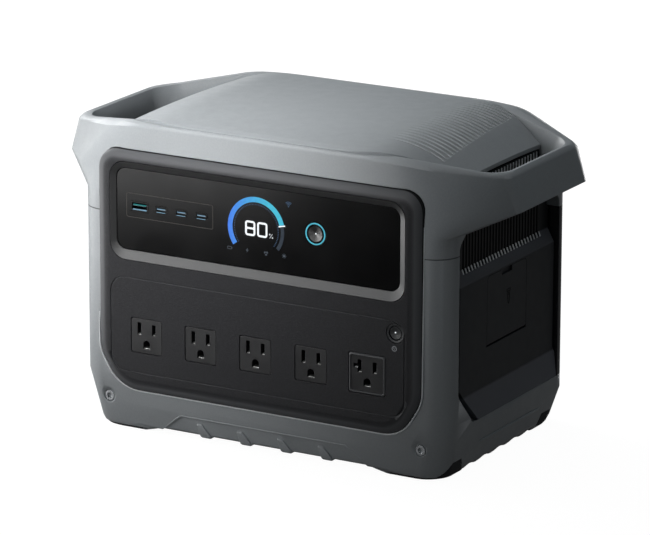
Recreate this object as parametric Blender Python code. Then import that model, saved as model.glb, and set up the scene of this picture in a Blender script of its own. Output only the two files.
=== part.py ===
"""Portable power station with two side handles, a glass display and five mains outlets.

Metres, +Z up, front towards -Y, standing on Z = 0 with the origin under its middle.
"""
import math

import bmesh
import bpy
from mathutils import Matrix, Vector

# Body envelope
BODY_DEPTH = 0.1980
CORNER_RADIUS = 0.0194
FRAME_WALL = 0.0110
BEAM_HEIGHT = 0.0208
SEAM_DROP = 0.0700
BEAM_WIDTH = 0.0050
FIT_GAP = 0.0004
SEAT_GAP = 0.0003

# Side handles
HANDLE_REACH = 0.0350
HANDLE_LEAN = 0.0108
BAR_WIDTH = 0.0180
BAR_DROP = 0.0110
BAR_HEIGHT = 0.0285
BAR_EDGE = 0.0020
FLARE_RISE = 0.0140
ARM_RUN = 0.0420
ARM_SET_BACK = 0.0450
ARM_RADIUS = 0.0600
ELBOW_RADIUS = 0.0100
CREST_ELBOW_RADIUS = 0.0260
CREST_RUN = 0.0820
CREST_SET_BACK = 0.0405
CREST_RADIUS = 0.1000
CREST_ROUNDING = 0.0035
CREST_WIDTH = 0.0030
CREST_DROP_RUN = 0.0740
LIP_RUN = 0.0900
LIP_SET_BACK = 0.0438
LIP_DROP = 0.0010

# Side windows between the columns
COLUMN_DEPTH = 0.0198
WINDOW_SHOULDER_DROP = 0.0220
WINDOW_TOP_HALF = 0.0520
WINDOW_CORNER_RUN = 0.0242
WINDOW_CORNER_RISE = 0.0254
WINDOW_RADIUS = 0.0080

# Bumper and feet
BUMPER_TOP = 0.0386
HULL_FRONT_START = 0.0440
HULL_SIDE_START = 0.0285
HULL_FRONT_DRAW = 0.0079
HULL_SIDE_DRAW = 0.0074
HULL_ROUNDING = 0.0060
HULL_BLEND_FRONT = 0.0600
HULL_BLEND_SIDE = 0.0200
FLOOR_TOP = 0.0085
BELLY_HEIGHT = 0.0042
BELLY_HALF = 0.0925
BELLY_RAMP = 0.0145
WAVE_PITCH = 0.0235
WAVE_COUNT = 5
WAVE_HEIGHT = 0.0030
WAVE_AMPLITUDE = 0.0011
STRIP_TOP = 0.0180
STRIP_DEPTH = 0.0018
STRIP_HEAD = 0.0030
STRIP_HALF = 0.0705
STRIP_END_RUN = 0.0180
STRIP_RIB_PITCH = 0.0347
STRIP_RIB_WIDTH = 0.0065
STRIP_RIB_COUNT = 4
STRIP_RIB_SLANT = 0.80
SHOE_DEPTH = 0.0430
SHOE_THICKNESS = 0.0022
SHOE_UPSTAND = 0.0100
SHOE_UPSTAND_WALL = 0.0060
SHOE_UPSTAND_SETBACK = 0.0130

# Corner screws
SCREW_INSET = 0.0229
SCREW_HEIGHT = 0.0245
SCREW_HEAD_RADIUS = 0.0042
SCREW_HEAD_HEIGHT = 0.0030
SCREW_SHANK_RADIUS = 0.0020
SCREW_SHANK_LENGTH = 0.0060
SCREW_DISH_RADIUS = 0.0072
SCREW_SOCKET_RADIUS = 0.0023
SCREW_SOCKET_DEPTH = 0.0020
SCREW_SINK = 0.0048

# Top cover
COVER_RISE = 0.0045
COVER_THICKNESS = 0.0030
COVER_SLOPE_RUN = 0.0390
COVER_SHOULDER_RADIUS = 0.0950
COVER_END_INSET = 0.0080
COVER_FALL = 0.0220
COVER_CROWN = 0.0028
COVER_EDGE_DROP = 0.0014
COVER_EDGE_RUN = 0.0080

# Front and rear panels
COLUMN_WIDTH = 0.0194
PANEL_BOTTOM = 0.0345
PANEL_BORDER = 0.0121
PANEL_HEAD = 0.0084
PANEL_BULGE = 0.0050
PANEL_SOFT_EDGE = 0.0100
PANEL_SEAT = 0.0050
PANEL_TOP_RADIUS = 0.0160
PANEL_LOW_RADIUS = 0.0300
PANEL_LOW_RUN = 0.0170
PANEL_LOW_RISE = 0.0290
REAR_PANEL_WIDTH = 0.2500
REAR_PANEL_RISE = 0.0114
REAR_PANEL_DROP = 0.0345
REAR_PANEL_RADIUS = 0.0160
REAR_SHELL_WALL = 0.0080

# Display
GLASS_WIDTH = 0.2410
GLASS_HEIGHT = 0.0624
GLASS_RISE = 0.0968
GLASS_THICKNESS = 0.0030
GLASS_RECESS = 0.0020
GLASS_RADIUS = 0.0080
RIM_SIDE = 0.0050
RIM_LEDGE = 0.0077
RIM_RADIUS = 0.0130
RIM_DEPTH = 0.0085
PORT_RISE = 0.0026
USB_A_INSET = 0.0197
USB_A_WIDTH = 0.0146
USB_A_HEIGHT = 0.0072
USB_C_STEP = 0.0186
USB_C_PITCH = 0.01745
USB_C_COUNT = 3
USB_C_WIDTH = 0.0104
USB_C_HEIGHT = 0.0046
USB_WALL = 0.0008
USB_LENGTH = 0.0157
USB_REACH = 0.0110
USB_TONGUE = 0.0012
GAUGE_SIZE = 0.0560
GAUGE_DEPTH = 0.0040
BOARD_THICKNESS = 0.0016
DISPLAY_BOARD_INSET = 0.0085
DISPLAY_BOARD_HEIGHT = 0.0560

# Buttons
POWER_X = 0.0500
POWER_RING_RADIUS = 0.0090
POWER_RADIUS = 0.0069
AC_INSET = 0.0197
AC_RISE = 0.0344
AC_BEZEL_RADIUS = 0.0072
AC_RADIUS = 0.0052
BUTTON_LENGTH = 0.0090
BUTTON_FLANGE = 0.0010
BUTTON_FLANGE_THICKNESS = 0.0014
BUTTON_DISH = 0.0007
BUTTON_SLOT = 0.0003
RESET_INSET = 0.0270
RESET_RADIUS = 0.0045

# Mains outlets
OUTLET_COUNT = 5
OUTLET_PITCH = 0.0473
OUTLET_RISE = 0.0448
OUTLET_SIZE = 0.0265
OUTLET_BIG_SIZE = 0.0302
OUTLET_RADIUS = 0.0014
OUTLET_LENGTH = 0.0260
OUTLET_SINK = 0.0003
BLADE_SPACING = 0.0127
BLADE_RISE = 0.0053
BLADE_WIDTH = 0.0031
NEUTRAL_LENGTH = 0.0098
LIVE_LENGTH = 0.0086
GROUND_DROP = 0.0119
GROUND_WIDTH = 0.0058
GROUND_HEIGHT = 0.0066
SLOT_DEPTH = 0.0120
OUTLET_BOARD_HEIGHT = 0.0400

# Side panels, flap and car socket
SIDE_FACE_RECESS = 0.0025
SIDE_GROOVE = 0.0055
SIDE_REAR_GROOVE = 0.0030
SIDE_FLANGE = 0.0020
LOUVRE_RECESS = 0.0083
SIDE_INNER_RECESS = 0.0115
SIDE_FOOT_RECESS = 0.0003
TOOTH_DROP = 0.0155
LEDGE_DROP = 0.0110
SLOPE_RISE = 0.0214
LOUVRE_COUNT = 26
LOUVRE_PITCH = 0.00467
LOUVRE_SLOT = 0.0024
LOUVRE_MARGIN = 0.0050
TOOTH_DEPTH = 0.0040
LOUVRE_EDGE = 0.0009
FLAP_WIDTH = 0.0620
FLAP_HEIGHT = 0.0530
FLAP_DROP = 0.0015
FLAP_THICKNESS = 0.0034
FLAP_CLEARANCE = 0.0008
FLAP_NOTCH = 0.0160
FLAP_RADIUS = 0.0040
FLAP_LOW_RADIUS = 0.0012
PIN_RADIUS = 0.0007
PIN_FIT = 0.0001
PIN_ENGAGEMENT = 0.0030
SOCKET_RADIUS = 0.0135
SOCKET_BORE = 0.0105
SOCKET_DEPTH = 0.0400
SOCKET_FLANGE = 0.0025
SOCKET_FLANGE_THICKNESS = 0.0030
SOCKET_BASE = 0.0030

# Rear sockets and vent
REAR_PORT_HEIGHT = 0.1020
INLET_X = 0.0620
INLET_WIDTH = 0.0280
INLET_HEIGHT = 0.0200
INLET_WALL = 0.0015
INLET_REACH = 0.0140
INLET_PIN_SPACING = 0.0140
INLET_PIN_WIDTH = 0.0020
INLET_PIN_HEIGHT = 0.0040
INLET_PIN_RISE = 0.0030
INLET_PIN_LENGTH = 0.0110
SOLAR_X = 0.0220
SOLAR_WIDTH = 0.0200
SOLAR_HEIGHT = 0.0120
SOLAR_PIN_SPACING = 0.0080
SOLAR_PIN_RADIUS = 0.0019
REAR_PORT_LENGTH = 0.0220
VENT_X = -0.0600
VENT_COUNT = 14
VENT_PITCH = 0.0060
VENT_SLOT = 0.0028
VENT_HEIGHT = 0.0600

# Battery
CELL_COUNT = 8
CELL_DEPTH = 0.1300
CELL_HEIGHT = 0.0950
CELL_TERMINAL_RADIUS = 0.0045
CELL_TERMINAL_HEIGHT = 0.0020
CELL_TERMINAL_INSET = 0.0250
TRAY_WALL = 0.0025
TRAY_RIM = 0.0300
PACK_GAP = 0.0027
LID_THICKNESS = 0.0030
BMS_WIDTH = 0.1200
BMS_DEPTH = 0.0600

# Inverter
INVERTER_LIFT = 0.0251
INVERTER_WIDTH = 0.2000
INVERTER_DEPTH = 0.1200
DECK_THICKNESS = 0.0020
LEG_SIZE = 0.0080
SINK_WIDTH = 0.0900
SINK_DEPTH = 0.0600
SINK_BASE = 0.0040
SINK_FIN_HEIGHT = 0.0240
SINK_FIN_COUNT = 9
SINK_FIN_THICKNESS = 0.0025
SINK_X = -0.0450
COIL_X = 0.0500
COIL_WIDTH = 0.0420
COIL_DEPTH = 0.0380
COIL_HEIGHT = 0.0340
COIL_CORE = 0.0120

# Fans
FAN_SIZE = 0.0600
FAN_DEPTH = 0.0200
FAN_RIM = 0.0015
FAN_HUB_RADIUS = 0.0115
FAN_HUB_LENGTH = 0.0130
FAN_SPIDER = 0.0030
FAN_SPOKE_WIDTH = 0.0060
FAN_SHAFT_RADIUS = 0.0020
FAN_SHAFT_LENGTH = 0.0105
FAN_RUNNING_GAP = 0.0005
FAN_BORE_FIT = 0.0001
FAN_BLADE_COUNT = 7
FAN_BLADE_TIP_GAP = 0.0013
FAN_BLADE_THICKNESS = 0.0012
FAN_BLADE_ANGLE = math.radians(40.0)

# Mesh resolution
ARC_STEPS = 7
ROUND_STEPS = 20
SMALL_ROUND_STEPS = 12
PILLOW_STEPS = 5
SMOOTH_ANGLE = math.radians(32.0)
OVERSHOOT = 0.0200

# Values that follow from the ones above, across
PANEL_HALF = GLASS_WIDTH / 2 + RIM_SIDE + PANEL_BORDER
HALF_WIDTH = PANEL_HALF + COLUMN_WIDTH
HALF_DEPTH = BODY_DEPTH / 2
FRONT_FACE = -HALF_DEPTH - PANEL_BULGE
REAR_FACE = HALF_DEPTH + PANEL_BULGE
BAR_OUTER = HALF_WIDTH + HANDLE_REACH
BAR_CREST = BAR_OUTER - HANDLE_LEAN
BAR_INNER = BAR_OUTER - BAR_WIDTH
WINDOW_HALF = HALF_DEPTH - COLUMN_DEPTH
SHOE_START = BELLY_HALF + BELLY_RAMP
COVER_END = HALF_WIDTH - COVER_END_INSET
COVER_SHOULDER = COVER_END - COVER_SLOPE_RUN
COVER_HALF_DEPTH = HALF_DEPTH - BEAM_WIDTH - FIT_GAP
LOUVRE_FACE = HALF_WIDTH - LOUVRE_RECESS
LOUVRE_HALF = (LOUVRE_COUNT - 1) / 2 * LOUVRE_PITCH + LOUVRE_SLOT / 2 + LOUVRE_EDGE
SIDE_FACE = HALF_WIDTH - SIDE_FACE_RECESS
SIDE_INNER = HALF_WIDTH - SIDE_INNER_RECESS
GLASS_FACE = FRONT_FACE + GLASS_RECESS
DISPLAY_BOARD_WIDTH = GLASS_WIDTH - 2 * DISPLAY_BOARD_INSET
DISPLAY_BOARD_FACE = GLASS_FACE + USB_LENGTH + SEAT_GAP
USB_A_X = USB_A_INSET - GLASS_WIDTH / 2
USB_C_FIRST_X = USB_A_X + USB_C_STEP
AC_X = PANEL_HALF - AC_INSET
RESET_X = REAR_PANEL_WIDTH / 2 - RESET_INSET
FLAP_AXIS_X = SIDE_FACE - FLAP_THICKNESS / 2
POCKET_FLOOR = SIDE_FACE - FLAP_THICKNESS - SEAT_GAP
SOCKET_MOUTH = POCKET_FLOOR - SEAT_GAP
SOCKET_END = SOCKET_MOUTH - SOCKET_DEPTH
TRAY_WIDTH = 2 * (SOCKET_END - PACK_GAP)
CELL_THICKNESS = (TRAY_WIDTH - 2 * TRAY_WALL - (CELL_COUNT + 1) * SEAT_GAP) / CELL_COUNT
FAN_BORE_RADIUS = FAN_SIZE / 2 - FAN_RIM

# Values that follow, upwards
OUTLET_HEIGHT = PANEL_BOTTOM + OUTLET_RISE
AC_HEIGHT = OUTLET_HEIGHT + AC_RISE
GLASS_MIDDLE = OUTLET_HEIGHT + GLASS_RISE
PORT_HEIGHT = GLASS_MIDDLE + PORT_RISE
PANEL_TOP = GLASS_MIDDLE + GLASS_HEIGHT / 2 + RIM_SIDE + PANEL_HEAD
BEAM_TOP = PANEL_TOP + BEAM_HEIGHT
SEAM_HEIGHT = BEAM_TOP - SEAM_DROP
BAR_TOP = BEAM_TOP - BAR_DROP
BAR_EDGE_HEIGHT = BAR_TOP - BAR_HEIGHT
BAR_UNDERSIDE = BAR_EDGE_HEIGHT - BAR_EDGE
FLARE_START = BAR_UNDERSIDE - FLARE_RISE
WINDOW_SHOULDER = BAR_UNDERSIDE - WINDOW_SHOULDER_DROP
COVER_TOP = BEAM_TOP + COVER_RISE
COVER_END_HEIGHT = COVER_TOP - COVER_FALL
REAR_PANEL_BOTTOM = BUMPER_TOP + REAR_PANEL_RISE
REAR_PANEL_TOP = BEAM_TOP - REAR_PANEL_DROP
TOOTH_HEIGHT = SEAM_HEIGHT - TOOTH_DROP
LEDGE_HEIGHT = TOOTH_HEIGHT - LEDGE_DROP
SLOPE_HEIGHT = BUMPER_TOP + SLOPE_RISE
FLAP_TOP = LEDGE_HEIGHT - FLAP_DROP
FLAP_AXIS_Z = FLAP_TOP - FLAP_HEIGHT + FLAP_THICKNESS / 2
SOCKET_HEIGHT = FLAP_TOP - FLAP_HEIGHT / 2
CELL_BOTTOM = FLOOR_TOP + SEAT_GAP + TRAY_WALL + SEAT_GAP
CELL_TOP = CELL_BOTTOM + CELL_HEIGHT
LID_BOTTOM = CELL_TOP + CELL_TERMINAL_HEIGHT + SEAT_GAP
LID_TOP = LID_BOTTOM + LID_THICKNESS
INVERTER_DECK = LID_TOP + INVERTER_LIFT


# Finishes: linear base colour, roughness, metallic
FINISHES = {
    "frame_grey": ((0.165, 0.178, 0.190), 0.52, 0.0),
    "panel_dark": ((0.030, 0.032, 0.036), 0.60, 0.0),
    "side_black": ((0.016, 0.017, 0.019), 0.55, 0.0),
    "gloss_black": ((0.006, 0.006, 0.007), 0.08, 0.0),
    "outlet_black": ((0.008, 0.008, 0.009), 0.35, 0.0),
    "light_ring": ((0.150, 0.560, 0.680), 0.30, 0.0),
    "button_metal": ((0.300, 0.340, 0.370), 0.32, 1.0),
    "button_black": ((0.018, 0.019, 0.021), 0.45, 0.0),
    "port_steel": ((0.450, 0.460, 0.480), 0.30, 1.0),
    "screw_steel": ((0.400, 0.410, 0.420), 0.35, 1.0),
    "rubber": ((0.012, 0.012, 0.013), 0.85, 0.0),
    "cell_wrap": ((0.030, 0.110, 0.320), 0.45, 0.0),
    "tray_plastic": ((0.060, 0.062, 0.066), 0.60, 0.0),
    "board_green": ((0.012, 0.090, 0.040), 0.50, 0.0),
    "sink_metal": ((0.520, 0.530, 0.540), 0.40, 1.0),
    "coil_core": ((0.350, 0.130, 0.040), 0.50, 0.0),
}


def finish(name):
    """The named Principled material, made on first use."""
    found = bpy.data.materials.get(name)
    if found:
        return found
    colour, roughness, metallic = FINISHES[name]
    made = bpy.data.materials.new(name)
    made.use_nodes = True
    shader = made.node_tree.nodes["Principled BSDF"]
    shader.inputs["Base Color"].default_value = (*colour, 1.0)
    shader.inputs["Roughness"].default_value = roughness
    shader.inputs["Metallic"].default_value = metallic
    return made


def fillet(corner, before, after, radius, steps):
    """Points of the arc that rounds one polygon corner, limited by its two edges."""
    into = before - corner
    out = after - corner
    half_angle = into.angle(out) / 2
    reach = min(radius / math.tan(half_angle), 0.48 * into.length, 0.48 * out.length)
    radius = reach * math.tan(half_angle)
    middle = (into.normalized() + out.normalized()).normalized()
    centre = corner + middle * (radius / math.sin(half_angle))
    start = corner + into.normalized() * reach - centre
    end = corner + out.normalized() * reach - centre
    turn = start.angle_signed(end)
    points = []
    for step in range(steps + 1):
        arm = start.copy()
        arm.rotate(Matrix.Rotation(-turn * step / steps, 2))
        points.append(centre + arm)
    return points


def outline(corners, radii, steps=ARC_STEPS):
    """A polygon with each corner rounded by its own radius; zero keeps it sharp."""
    points = []
    count = len(corners)
    for index, (corner, radius) in enumerate(zip(corners, radii)):
        if radius <= 0:
            points.append(Vector(corner))
            continue
        before = Vector(corners[index - 1])
        after = Vector(corners[(index + 1) % count])
        points.extend(fillet(Vector(corner), before, after, radius, steps))
    return points


def offset(corners, distance):
    """The counter-clockwise polygon with every edge moved inwards."""
    count = len(corners)
    lines = []
    for index in range(count):
        start = Vector(corners[index])
        along = (Vector(corners[(index + 1) % count]) - start).normalized()
        inward = Vector((-along.y, along.x))
        lines.append((start + inward * distance, along))
    moved = []
    for index in range(count):
        point, along = lines[index - 1]
        other, across = lines[index]
        gap = other - point
        step = (gap.x * across.y - gap.y * across.x) / (along.x * across.y - along.y * across.x)
        moved.append(point + along * step)
    return moved


def rectangle(width, height, middle=(0.0, 0.0)):
    """Counter-clockwise corners of a rectangle."""
    x, y = middle
    w, h = width / 2, height / 2
    return [(x - w, y - h), (x + w, y - h), (x + w, y + h), (x - w, y + h)]


def placed(point, axis, level):
    """A point of a plane lifted to a level along the plane's axis."""
    u, v = point
    if axis == "X":
        return Vector((level, u, v))
    if axis == "Y":
        return Vector((u, level, v))
    return Vector((u, v, level))


def loft(loops, ring=False):
    """A closed skin over a stack of loops; a ring joins the last loop to the first."""
    shape = bmesh.new()
    rows = [[shape.verts.new(point) for point in loop] for loop in loops]
    count = len(rows[0])
    pairs = list(zip(rows, rows[1:]))
    if ring:
        pairs.append((rows[-1], rows[0]))
    for low, high in pairs:
        for index in range(count):
            after = (index + 1) % count
            shape.faces.new((low[index], low[after], high[after], high[index]))
    if not ring:
        shape.faces.new(rows[0])
        shape.faces.new(rows[-1])
    bmesh.ops.recalc_face_normals(shape, faces=shape.faces)
    return shape


def extrude(points, axis, start, end):
    """A straight prism of a plane outline."""
    return loft([[placed(point, axis, level) for point in points] for level in (start, end)])


def block(low, high):
    """A rectangular block between two corners."""
    corners = [(low[0], low[1]), (high[0], low[1]), (high[0], high[1]), (low[0], high[1])]
    return extrude(corners, "Z", low[2], high[2])


def turned(profile, axis, middle, ring=False, steps=ROUND_STEPS):
    """A solid of revolution from (radius, level) pairs about an axis through a plane point."""
    loops = []
    for radius, level in profile:
        loop = []
        for step in range(steps):
            angle = math.tau * step / steps
            point = (middle[0] + radius * math.cos(angle), middle[1] + radius * math.sin(angle))
            loop.append(placed(point, axis, level))
        loops.append(loop)
    return loft(loops, ring)


def joined(shapes):
    """Several separate shapes as one mesh."""
    total = bmesh.new()
    for shape in shapes:
        data = bpy.data.meshes.new("shape")
        shape.to_mesh(data)
        shape.free()
        total.from_mesh(data)
        bpy.data.meshes.remove(data)
    return total


def piece(name, shape, finish_name, origin=(0.0, 0.0, 0.0)):
    """A named object from a shape in world coordinates, with its origin where asked."""
    data = bpy.data.meshes.new(name)
    bmesh.ops.translate(shape, verts=shape.verts, vec=-Vector(origin))
    shape.to_mesh(data)
    shape.free()
    item = bpy.data.objects.new(name, data)
    item.location = origin
    bpy.context.collection.objects.link(item)
    if finish_name:
        data.materials.append(finish(finish_name))
    return item


def combine(item, operation, shapes):
    """Apply one exact Boolean of an object with the given shapes."""
    tool = piece("tool", joined(shapes), None)
    step = item.modifiers.new("combine", "BOOLEAN")
    step.operation = operation
    step.solver = "EXACT"
    step.object = tool
    graph = bpy.context.evaluated_depsgraph_get()
    result = bpy.data.meshes.new_from_object(item.evaluated_get(graph))
    item.modifiers.clear()
    old = item.data
    item.data = result
    result.name = item.name
    bpy.data.meshes.remove(old)
    spare = tool.data
    bpy.data.objects.remove(tool)
    bpy.data.meshes.remove(spare)


def cut(item, *shapes):
    combine(item, "DIFFERENCE", shapes)


def fuse(item, *shapes):
    combine(item, "UNION", shapes)


def keep(item, *shapes):
    combine(item, "INTERSECT", shapes)


# Plan outlines shared by the frame, the cover and the rear shell

def plan_corners(half_x, half_y, cut_x, cut_y):
    """An octagon in plan: a rectangle whose four corners are cut off."""
    return [
        (-half_x + cut_x, -half_y), (half_x - cut_x, -half_y),
        (half_x, -half_y + cut_y), (half_x, half_y - cut_y),
        (half_x - cut_x, half_y), (-half_x + cut_x, half_y),
        (-half_x, half_y - cut_y), (-half_x, -half_y + cut_y),
    ]


def plan_loop(half_x, half_y, cut_x, cut_y, radius, height, side_radius=None):
    """A rounded octagon at a height, which may depend on X."""
    side = radius if side_radius is None else side_radius
    corners = plan_corners(half_x, half_y, cut_x, cut_y)
    points = outline(corners, [radius, radius, side, side] * 2)
    level = height if callable(height) else lambda x: height
    return [Vector((point.x, point.y, level(point.x))) for point in points]


def body_loop(inset, height):
    """The rounded body rectangle in plan, moved inwards."""
    radius = CORNER_RADIUS - min(inset, 0.6 * CORNER_RADIUS)
    corner = radius * (2 - math.sqrt(2))
    return plan_loop(HALF_WIDTH - inset, HALF_DEPTH - inset, corner, corner, radius, height)


def hull_inset(height, start, draw):
    """Straight draw-in from a start height down to the ground, with a rounded bottom edge."""
    near = max(0.0, HULL_ROUNDING - height) / HULL_ROUNDING
    rounding = 0.5 * HULL_ROUNDING * (1 - math.sqrt(1 - near * near))
    return draw * max(0.0, 1 - height / start) + rounding


def front_inset(height):
    """Draw-in of the front face at a height."""
    return hull_inset(height, HULL_FRONT_START, HULL_FRONT_DRAW)


def side_inset(height):
    """Draw-in of the side and rear faces at a height."""
    return hull_inset(height, HULL_SIDE_START, HULL_SIDE_DRAW)


def hull_loop(height, gap=0.0):
    """The body outline drawn in towards the ground, earlier at the front than at the sides."""
    corner = CORNER_RADIUS * (2 - math.sqrt(2))
    loops = []
    for inset in (front_inset(height) + gap, side_inset(height) + gap):
        loops.append(plan_loop(HALF_WIDTH - inset, HALF_DEPTH - inset, corner, corner, CORNER_RADIUS,
                               height))
    points = []
    for ahead, beside in zip(*loops):
        share = (beside.y + HULL_BLEND_FRONT) / (HULL_BLEND_FRONT - HULL_BLEND_SIDE)
        points.append(ahead.lerp(beside, min(max(share, 0.0), 1.0)))
    return points


def hull(top, gap=0.0):
    """The tapered body from the ground up to a height."""
    levels = [0.0, 0.15 * HULL_ROUNDING, 0.5 * HULL_ROUNDING, HULL_ROUNDING, HULL_SIDE_START,
              HULL_FRONT_START, top]
    return loft([hull_loop(level, gap) for level in levels])


def crest(drop):
    """Height of the frame's top edge along X: level beams that fall towards the bars."""
    def level(x):
        share = (abs(x) - BAR_CREST + CREST_DROP_RUN) / CREST_DROP_RUN
        share = min(max(share, 0.0), 1.0)
        fall = share * share * (3 - 2 * share)
        return BEAM_TOP - (BEAM_TOP - BAR_TOP) * fall - drop
    return level


def panel_corners():
    """The front panel's outline, with long slanted lower corners."""
    low = PANEL_BOTTOM + PANEL_LOW_RISE
    inner = PANEL_HALF - PANEL_LOW_RUN
    return [(-inner, PANEL_BOTTOM), (inner, PANEL_BOTTOM), (PANEL_HALF, low),
            (PANEL_HALF, PANEL_TOP), (-PANEL_HALF, PANEL_TOP), (-PANEL_HALF, low)]


def panel_radii(inset):
    low = max(PANEL_LOW_RADIUS - inset, GLASS_RADIUS)
    top = max(PANEL_TOP_RADIUS - inset, GLASS_RADIUS / 2)
    return [low, low, low, top, top, low]


def rear_corners():
    """The rear panel's outline."""
    middle = (REAR_PANEL_TOP + REAR_PANEL_BOTTOM) / 2
    return rectangle(REAR_PANEL_WIDTH, REAR_PANEL_TOP - REAR_PANEL_BOTTOM, (0.0, middle))


def front_opening():
    corners = offset(panel_corners(), -FIT_GAP)
    return extrude(outline(corners, panel_radii(-FIT_GAP)), "Y",
                   -HALF_DEPTH - OVERSHOOT, -HALF_DEPTH + OVERSHOOT)


def rear_opening():
    corners = offset(rear_corners(), -FIT_GAP)
    return extrude(outline(corners, [REAR_PANEL_RADIUS] * 4), "Y",
                   HALF_DEPTH - OVERSHOOT, HALF_DEPTH + OVERSHOOT)


def window_corners(gap):
    """Side opening under the handle, seen along X, drawn in by a gap."""
    half = WINDOW_HALF - gap
    low = SEAM_HEIGHT - OVERSHOOT
    return [(-half, low), (half, low), (half, WINDOW_SHOULDER - gap),
            (WINDOW_TOP_HALF - gap, BAR_UNDERSIDE - gap), (gap - WINDOW_TOP_HALF, BAR_UNDERSIDE - gap),
            (-half, WINDOW_SHOULDER - gap)]


# Casing

def lip_level(x):
    """Height of the ring's inner edge: it follows the cover's border, just below the crest."""
    return min(crest(LIP_DROP)(x), cover_height(x) - COVER_CROWN)


def upper_frame():
    """One moulding: beams, upper columns and both handles, as a ring of skin loops."""
    bottom = SEAM_HEIGHT + FIT_GAP / 2
    lip_depth = HALF_DEPTH - BEAM_WIDTH

    def lean_loop(share, drop):
        """A loop between the handle's lower edge and its crest."""
        return plan_loop(BAR_OUTER - HANDLE_LEAN * share,
                         HALF_DEPTH - (BEAM_WIDTH - CREST_WIDTH) * share ** 3,
                         ARM_RUN + (CREST_RUN - ARM_RUN) * share,
                         ARM_SET_BACK + (CREST_SET_BACK - ARM_SET_BACK) * share,
                         ARM_RADIUS + (CREST_RADIUS - ARM_RADIUS) * share, crest(drop),
                         ELBOW_RADIUS + (CREST_ELBOW_RADIUS - ELBOW_RADIUS) * share)

    def lip_loop(height):
        """The ring's inner wall round the cover and the hand openings."""
        return plan_loop(BAR_INNER, lip_depth, LIP_RUN, LIP_SET_BACK, CREST_RADIUS, height,
                         CREST_ELBOW_RADIUS)

    loops = [
        body_loop(0.0, bottom),
        body_loop(0.0, FLARE_START),
        plan_loop(BAR_OUTER, HALF_DEPTH, ARM_RUN, ARM_SET_BACK, ARM_RADIUS, BAR_EDGE_HEIGHT, ELBOW_RADIUS),
        lean_loop(0.57, CREST_ROUNDING),
        lean_loop(0.78, 0.3 * CREST_ROUNDING),
        lean_loop(1.0, 0.0),
        plan_loop(BAR_CREST - CREST_WIDTH, lip_depth + FIT_GAP, CREST_RUN, CREST_SET_BACK, CREST_RADIUS,
                  crest(0.2 * CREST_ROUNDING), CREST_ELBOW_RADIUS),
        lip_loop(lip_level),
        lip_loop(BAR_UNDERSIDE - FIT_GAP),
        body_loop(FRAME_WALL, FLARE_START + SEAT_GAP),
        body_loop(FRAME_WALL, bottom),
    ]
    frame = piece("upper_frame", loft(loops, ring=True), "frame_grey")
    opening = outline(window_corners(0.0), [0, 0] + [WINDOW_RADIUS] * 4)
    reach = BAR_OUTER + OVERSHOOT
    start = HALF_WIDTH - FRAME_WALL - OVERSHOOT
    windows = [extrude(opening, "X", side * start, side * reach) for side in (-1, 1)]
    cut(frame, *windows)
    cut(frame, front_opening(), rear_opening())


def strip_cutter(left, right, side, levels):
    """One bay of the recessed strip along the bumper's lower edge, with slanted ends."""
    inset = front_inset if side < 0 else side_inset
    far = HALF_DEPTH + OVERSHOOT
    section = [(HALF_DEPTH - inset(z) - STRIP_DEPTH, z) for z in levels]
    section += [(far, levels[-1]), (far, levels[0])]
    loops = []
    for x, slant in (left, right):
        loops.append([Vector((x + slant * (STRIP_TOP - z), side * y, z)) for y, z in section])
    return loft(loops)


def strip_slant():
    """How far the strip's ends run outwards for each metre they fall."""
    return STRIP_END_RUN / (STRIP_TOP - BELLY_HEIGHT)


def strip_head(side):
    """The strip's open head, which runs its whole length above the ribs."""
    left = (-STRIP_HALF, -strip_slant())
    right = (STRIP_HALF, strip_slant())
    return strip_cutter(left, right, side, (STRIP_TOP - STRIP_HEAD, STRIP_TOP))


def strip_cutters(side):
    """The strip's bays between its slanted ribs, on the front or the rear."""
    end_slant = strip_slant()
    first = -STRIP_RIB_PITCH * (STRIP_RIB_COUNT - 1) / 2 - STRIP_RIB_SLANT * STRIP_TOP / 2
    edges = [(-STRIP_HALF, -end_slant)]
    for index in range(STRIP_RIB_COUNT):
        middle = first + index * STRIP_RIB_PITCH
        edges.append((middle - STRIP_RIB_WIDTH / 2, STRIP_RIB_SLANT))
        edges.append((middle + STRIP_RIB_WIDTH / 2, STRIP_RIB_SLANT))
    edges.append((STRIP_HALF, end_slant))
    levels = (0.0, HULL_ROUNDING, STRIP_TOP)
    return [strip_cutter(edges[i], edges[i + 1], side, levels) for i in range(0, len(edges), 2)]


def belly_cutter():
    """The clearance under the bumper between left and right feet."""
    low = -BELLY_RAMP
    ramp = BELLY_HALF + BELLY_RAMP * (BELLY_HEIGHT - low) / BELLY_HEIGHT
    corners = [(-ramp, low), (ramp, low), (BELLY_HALF, BELLY_HEIGHT), (-BELLY_HALF, BELLY_HEIGHT)]
    return extrude(corners, "Y", -HALF_DEPTH - OVERSHOOT, HALF_DEPTH + OVERSHOOT)


def wave_cutter(side):
    """The wavy lower edge between the front and rear feet."""
    half = WAVE_PITCH * (WAVE_COUNT / 2)
    steps = 6 * WAVE_COUNT
    points = [(half + WAVE_PITCH / 4, -WAVE_HEIGHT), (half, WAVE_HEIGHT - WAVE_AMPLITUDE)]
    for step in range(1, steps):
        y = half - 2 * half * step / steps
        points.append((y, WAVE_HEIGHT - WAVE_AMPLITUDE * math.cos(math.tau * (half - y) / WAVE_PITCH)))
    points += [(-half, WAVE_HEIGHT - WAVE_AMPLITUDE), (-half - WAVE_PITCH / 4, -WAVE_HEIGHT)]
    return extrude(points, "X", side * BELLY_HALF, side * (HALF_WIDTH + OVERSHOOT))


def corner_signs():
    return [(side, end) for end in (-1, 1) for side in (-1, 1)]


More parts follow.
